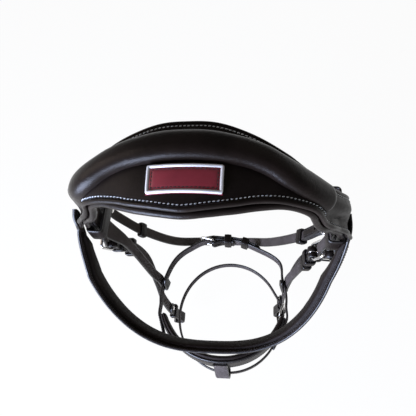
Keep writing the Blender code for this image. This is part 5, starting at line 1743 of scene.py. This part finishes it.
def hanger_width(s):
    """Wide where it is sewn under the tab, narrowing to the width of the strap."""
    return eased([(HANGER_WIDE_UNTIL, HANGER_TOP_WIDTH), (HANGER_NARROW_FROM, HANGER["width"])], s)


def make_hangers():
    """The noseband's two hangers: whole on the left, and in two parts with a buckle on the right."""
    kind = HANGER
    slant = math.atan2(HANGER_LINE[-1][1] - RING_CENTRE[1] / MM, RING_HALF_DEPTH / MM)
    left = smooth_line(HANGER_LINE, -1, (0, -1, 0), (-math.sin(slant), -math.cos(slant), 0))
    right = smooth_line(HANGER_LINE, 1, (0, 1, 0), (-math.sin(slant), math.cos(slant), 0))
    whole = strap("hanger_left_leather", left, hanger_end(left, 0.0, 18), hanger_width, kind["leather"])
    set_down(whole, "hangers", "black_leather", "hanger_left")
    top = billet("hanger_billet_leather", right, kind, HANGER_BUCKLE, HANGER_BILLET)
    set_down(top, "hangers", "black_leather", "hanger_billet")
    stations = chape_stations(kind, HANGER_BUCKLE) + hanger_end(right, HANGER_BUCKLE + CHAPE_LENGTH, 8)
    lower = strap("hanger_right_leather", right, stations, kind["width"], kind["leather"])
    punched(lower, [tongue_slot(right, kind, HANGER_BUCKLE)])
    set_down(lower, "hangers", "black_leather", "hanger_right")
    buckle_set("hanger", "", right, kind, HANGER_BUCKLE, "hangers", HANGER_RUNNER_AT, KEEPER_AT)
    chape_rows("hangers", right, kind, HANGER_BUCKLE)
    out = kind["leather"] / 2 + STRAP_THREAD_LIFT
    for level in (out, -out):
        edge_rows("hangers", left, *HANGER_SEWN, HANGER_TOP_WIDTH / 2, level)


def make_throat():
    """The throatlatch: a long strap from the left tab, buckled to a billet on the right."""
    kind = THROAT
    line = smooth_line(THROAT_LINE, 1, (0, 1, 0), mirrored_after=True)
    back = Line(list(reversed(line.points)), (0, -1, 0))
    stations = chape_stations(kind, THROAT_BUCKLE)
    stations += spread(THROAT_BUCKLE + CHAPE_LENGTH, line.length - 2 * GAP, 44)
    body = strap("throat_strap_leather", line, stations, kind["width"], kind["leather"], round_end=False)
    punched(body, [tongue_slot(line, kind, THROAT_BUCKLE)])
    set_down(body, "throat", "black_leather", "throat_strap")
    top = billet("throat_billet_leather", line, kind, THROAT_BUCKLE, THROAT_BILLET)
    set_down(top, "throat", "black_leather", "throat_billet")
    hold = keeper("throat_keeper_leather", back, kind, THROAT_KEEPER, 0, 0, RUNNER_GAP)
    set_down(hold, "throat", "black_leather", "throat_keeper")
    rivet = stud("throat_rivet_steel", back, RIVET_UP, -kind["leather"] / 2 - GAP)
    set_down(rivet, "throat", "stainless_steel", "throat_rivet")
    buckle_set("throat", "", line, kind, THROAT_BUCKLE, "throat", THROAT_RUNNER_AT)
    chape_rows("throat", line, kind, THROAT_BUCKLE)


# The noseband and its flash strap


def nose_point(angle, across, normal):
    """A point of the nose piece: the angle is 0 at the front and positive to the left."""
    half_width, half_depth = RING_HALF_WIDTH + normal, RING_HALF_DEPTH + normal
    y = -half_depth * math.cos(angle)
    point = Vector(RING_CENTRE) + Vector((-half_width * math.sin(angle), y, RING_SLOPE * y))
    return point + UP * across


def nose_half_height(angle):
    share = max(0.0, math.cos(angle / NOSE_HALF_ANGLE * math.pi / 2)) ** 1.3
    return (NOSE_SIDE_HEIGHT + (NOSE_HEIGHT - NOSE_SIDE_HEIGHT) * share) / 2


def nose_leather():
    """The nose piece, with a row of stitches along each edge."""
    rings = []
    for angle in ended(NOSE_HALF_ANGLE, 120, NOSE_END):
        corner = END_CORNER * (1 - rounding(NOSE_HALF_ANGLE - abs(angle), NOSE_END))
        profile = section(nose_half_height(angle) - corner, NOSE_LEATHER)
        rings.append([nose_point(angle, a, o) for a, o, _ in profile])
    piece = skin("nose_leather_grain", rings, STRAP_FINISH, finishes(profile))
    set_down(piece, "noseband", "black_leather", "nose_leather")
    for side in (-1, 1):
        angles = even(NOSE_HALF_ANGLE * 0.97, 120)
        places = [(angle, side * (nose_half_height(angle) - BAND_ROW_INSET)) for angle in angles]
        sewn_over("noseband", nose_point, places, NOSE_LEATHER / 2 + BAND_THREAD_LIFT)


def nose_padding():
    """The pad inside the nose piece, a little wider than its leather."""
    face = -NOSE_LEATHER / 2 - GAP
    rings, held = [], []
    for angle in even(NOSE_HALF_ANGLE, 110):
        half = nose_half_height(angle) + NOSE_PAD_PROUD
        taper = 0.5 + 0.5 * max(0.0, math.cos(angle / NOSE_HALF_ANGLE * math.pi / 2)) ** 0.5
        ring = [nose_point(angle, place, face) for place in even(half * 0.92, 8)]
        for k in range(19):
            turn = math.pi * k / 18
            depth = NOSE_PAD * taper * (0.3 + 0.7 * math.sin(turn))
            ring.append(nose_point(angle, half * math.cos(turn), face - depth))
        held += [len(rings) * len(ring) + k for k in range(9)]
        rings.append(ring)
    piece = skin("nose_padding_lining", rings, [LINING], sharp=70)
    puffed(piece, held, PAD_SWELL)
    set_down(piece, "noseband", "soft_padding", "nose_padding")


def length_at(line, centre, angle_from_front, half_width, half_depth):
    """The length along a ring line nearest an angle round it."""

    def gap(k):
        p = line.points[k] - Vector(centre)
        angle = math.atan2(-p.x / half_width, -p.y / half_depth) % (2 * math.pi)
        return abs((angle - angle_from_front + math.pi) % (2 * math.pi) - math.pi)

    return line.lengths[min(range(len(line.points)), key=gap)]


def make_chin():
    """The back strap: a billet from the left end of the nose piece, through a buckle on the right one."""
    kind = CHIN
    start = NOSE_HALF_ANGLE - NOSE_END
    turn = 2 * math.pi - 2 * start
    line = ring_line(RING_CENTRE, RING_HALF_WIDTH, RING_HALF_DEPTH, RING_SLOPE, start, turn, RING_FULLER)
    buckle = length_at(line, RING_CENTRE, CHIN_BUCKLE_ANGLE, RING_HALF_WIDTH, RING_HALF_DEPTH)
    stop = buckle + CHIN_BILLET_PAST
    lap = NOSE_LEATHER / 2 + GAP + kind["leather"] / 2
    offset = billet_offset(kind, buckle)
    near = billet_stations(kind, buckle, stop, CHIN_SETTLE, offset)
    stations = [(-CHIN_LAP, lap), (-CHIN_LAP / 2, lap), (0.0, lap), (CHIN_BEND, lap)] + near
    top = strap("chin_billet_leather", line, stations, kind["width"], kind["leather"])
    punched(top, billet_holes(line, kind, buckle, stop, offset))
    set_down(top, "noseband", "black_leather", "chin_billet")
    end = line.length
    stations = chape_stations(kind, buckle) + spread(buckle + CHAPE_LENGTH, end - CHIN_SETTLE, 14)
    stations += [(end - CHIN_BEND, lap), (end, lap), (end + CHIN_LAP / 2, lap), (end + CHIN_LAP, lap)]
    lower = strap("chin_strap_leather", line, stations, kind["width"], kind["leather"], round_end=False)
    punched(lower, [tongue_slot(line, kind, buckle)])
    set_down(lower, "noseband", "black_leather", "chin_strap")
    buckle_set("chin", "", line, kind, buckle, "noseband", CHIN_RUNNER_AT, KEEPER_AT)
    chape_rows("noseband", line, kind, buckle)
    half, out = kind["width"] / 2, kind["leather"] / 2 + STRAP_THREAD_LIFT
    edge_rows("noseband", line, -CHIN_LAP + 2 * MM, 2 * MM, half, out, lap)
    edge_rows("noseband", line, end - 2 * MM, end + CHIN_LAP - 2 * MM, half, out, lap)


def first_length(line, turned, whole):
    """The length of a ring line at an angle turned from its start."""
    return line.lengths[round((len(line.points) - 1) * turned / whole)]


def make_flash():
    """One strap: from its buckle round the front, the left and the back, and through the buckle again."""
    kind = FLASH
    whole = FLASH_RUN_IN + 2 * math.pi + FLASH_RUN_OUT
    start = FLASH_BUCKLE_ANGLE - 2 * math.pi - FLASH_RUN_IN
    line = ring_line(FLASH_CENTRE, FLASH_HALF_WIDTH, FLASH_HALF_DEPTH, FLASH_SLOPE, start, whole)
    first = first_length(line, FLASH_RUN_IN, whole)
    buckle = first_length(line, FLASH_RUN_IN + 2 * math.pi, whole)
    through = billet_offset(kind, buckle)
    stop = buckle + FLASH_BILLET_PAST
    stations = chape_stations(kind, first)
    stations += spread(first + CHAPE_LENGTH, buckle - FLASH_PLAIN_BEFORE, 32)
    stations += billet_stations(kind, buckle, stop, buckle - FLASH_BILLET_BEFORE, through)
    body = strap("flash_strap_leather", line, stations, kind["width"], kind["leather"])
    punched(body, [tongue_slot(line, kind, first)] + billet_holes(line, kind, buckle, stop, through, 1))
    set_down(body, "flash", "black_leather", "flash_strap")
    buckle_set("flash", "", line, kind, buckle, "flash", None, KEEPER_AT)
    chape_rows("flash", line, kind, first)


def make_flash_tab():
    """A loop sewn to the front of the nose piece, round the flash strap."""
    front = nose_point(0.0, 0.0, NOSE_LEATHER / 2 + GAP + FLASH_TAB_LEATHER / 2)
    strap_y = FLASH_CENTRE[1] - FLASH_HALF_DEPTH
    strap_z = FLASH_CENTRE[2] - FLASH_SLOPE * FLASH_HALF_DEPTH
    reach = FLASH["leather"] / 2 + FLASH_TAB_ROOM + FLASH_TAB_LEATHER / 2
    foot = strap_z - FLASH["width"] / 2 - 3 * MM
    route = [(front.y, front.z + 12 * MM), (front.y, front.z), (strap_y - reach, foot + reach + 14 * MM)]
    for k in range(9):
        angle = math.pi * k / 8
        route.append((strap_y - reach * math.cos(angle), foot + reach - reach * math.sin(angle)))
    route.append((strap_y + reach, strap_z + FLASH["width"] / 2 + 2 * MM))
    points = smooth_points([Vector((0, y, z)) for y, z in route], 60)
    rings = []
    profile = section(FLASH_TAB_HALF_WIDTH, FLASH_TAB_LEATHER)
    last = len(points) - 1
    for k, point in enumerate(points):
        ahead = (points[min(k + 1, last)] - points[max(k - 1, 0)]).normalized()
        out = ahead.cross(Vector((1, 0, 0))).normalized()
        rings.append([point + Vector((a, 0, 0)) + out * -o for a, o, _ in profile])
    piece = skin("flash_tab_leather", rings, STRAP_FINISH, finishes(profile))
    set_down(piece, "noseband", "black_leather", "flash_tab")


# The scene round the bridle

FLOOR_HALF = 1.6
FLOOR_BELOW = 0.03
# How much of the floor's own light shows to the camera, in place of the light that falls on it
FLOOR_GLOW = 0.95
# Lamps: place, width and height, power in watts, and colour
LAMPS = {
    "window": ((-0.68, -0.9, 0.0), (0.8, 0.85), 60.0, "d2dfff"),
    "side": ((-0.85, 0.1, 0.55), (0.7, 0.6), 3.0, "ffeee0"),
    "room": ((0.75, 0.65, 0.75), (0.8, 0.8), 0.35, "ffeee0"),
}
LAMPS_FACE = Vector((0, 0, -0.12))
# The world's light: full at the horizon, falling to the ceiling's share of it at the top of the walls
WALLS_TOP = 0.22
CEILING = 0.1


def of_rays(tree, *kinds):
    """1 for rays of the given kinds, and 0 for all others."""
    path = add(tree, "ShaderNodeLightPath").outputs
    found = path[f"Is {kinds[0]} Ray"]
    for kind in kinds[1:]:
        values = {0: found, 1: path[f"Is {kind} Ray"]}
        found = add(tree, "ShaderNodeMath", values, operation="MAXIMUM").outputs[0]
    return found


def make_floor():
    """A pale floor below the bridle, white to the camera."""
    grid = bmesh.new()
    bmesh.ops.create_grid(grid, x_segments=1, y_segments=1, size=FLOOR_HALF)
    mesh = bpy.data.meshes.new("floor")
    grid.to_mesh(mesh)
    grid.free()
    mesh.transform(Matrix.Translation((0, 0, cad_box[0][2] - FLOOR_BELOW)))
    floor = bpy.data.objects.new("floor", mesh)
    scene.collection.objects.link(floor)
    made = bpy.data.materials.new("pale_matt_floor")
    made.use_nodes = True
    tree = made.node_tree
    bsdf = tree.nodes["Principled BSDF"]
    bsdf.inputs["Base Color"].default_value = linear("e8e8e6")
    bsdf.inputs["Roughness"].default_value = 0.9
    shown = of_rays(tree, "Camera", "Glossy", "Transmission")
    share = add(tree, "ShaderNodeMath", {0: shown, 1: FLOOR_GLOW}, operation="MULTIPLY")
    glow = add(tree, "ShaderNodeEmission", {"Color": (1, 1, 1, 1), "Strength": 1.0})
    mixed = add(tree, "ShaderNodeMixShader", {0: share.outputs[0], 1: bsdf.outputs[0], 2: glow.outputs[0]})
    tree.links.new(mixed.outputs[0], tree.nodes["Material Output"].inputs["Surface"])
    floor.data.materials.append(made)


def make_lamps():
    for name, (place, size, power, tint) in LAMPS.items():
        data = bpy.data.lights.new(name, "AREA")
        data.shape = "RECTANGLE"
        data.size, data.size_y = size
        data.energy = power
        data.color = linear(tint)[:3]
        lamp = bpy.data.objects.new(name, data)
        scene.collection.objects.link(lamp)
        aim = (LAMPS_FACE - Vector(place)).to_track_quat("-Z", "Y").to_matrix().to_4x4()
        lamp.matrix_world = Matrix.Translation(place) @ aim


def make_world():
    """Pale walls that darken upwards, and plain white to the camera."""
    world = bpy.data.worlds.new("studio")
    scene.world = world
    world.use_nodes = True
    tree = world.node_tree
    background = tree.nodes["Background"]
    toward = add(tree, "ShaderNodeTexCoord").outputs["Generated"]
    height = add(tree, "ShaderNodeSeparateXYZ", {0: toward}).outputs["Z"]
    walls = add(tree, "ShaderNodeMapRange", {
        "Value": height, "From Min": 0.0, "From Max": WALLS_TOP, "To Min": 1.0, "To Max": CEILING,
    }, interpolation_type="SMOOTHSTEP")
    values = {0: walls.outputs["Result"], 1: of_rays(tree, "Camera", "Transmission")}
    strength = add(tree, "ShaderNodeMath", values, operation="MAXIMUM")
    background.inputs["Color"].default_value = (1, 1, 1, 1)
    tree.links.new(strength.outputs[0], background.inputs["Strength"])
    scene.view_settings.view_transform = "Standard"


make_floor()
make_lamps()
make_world()
crown_cover()
crown_padding()
crown_roll()
crown_piping("front")
crown_piping("rear")
badge_border()
badge_insert()
for which_side in (-1, 1):
    crown_tab(which_side)
    browband_loop(which_side)
    make_cheek(which_side)
browband_leather()
browband_padding()
make_hangers()
make_throat()
nose_leather()
nose_padding()
make_chin()
make_flash_tab()
make_flash()
sew_rows()
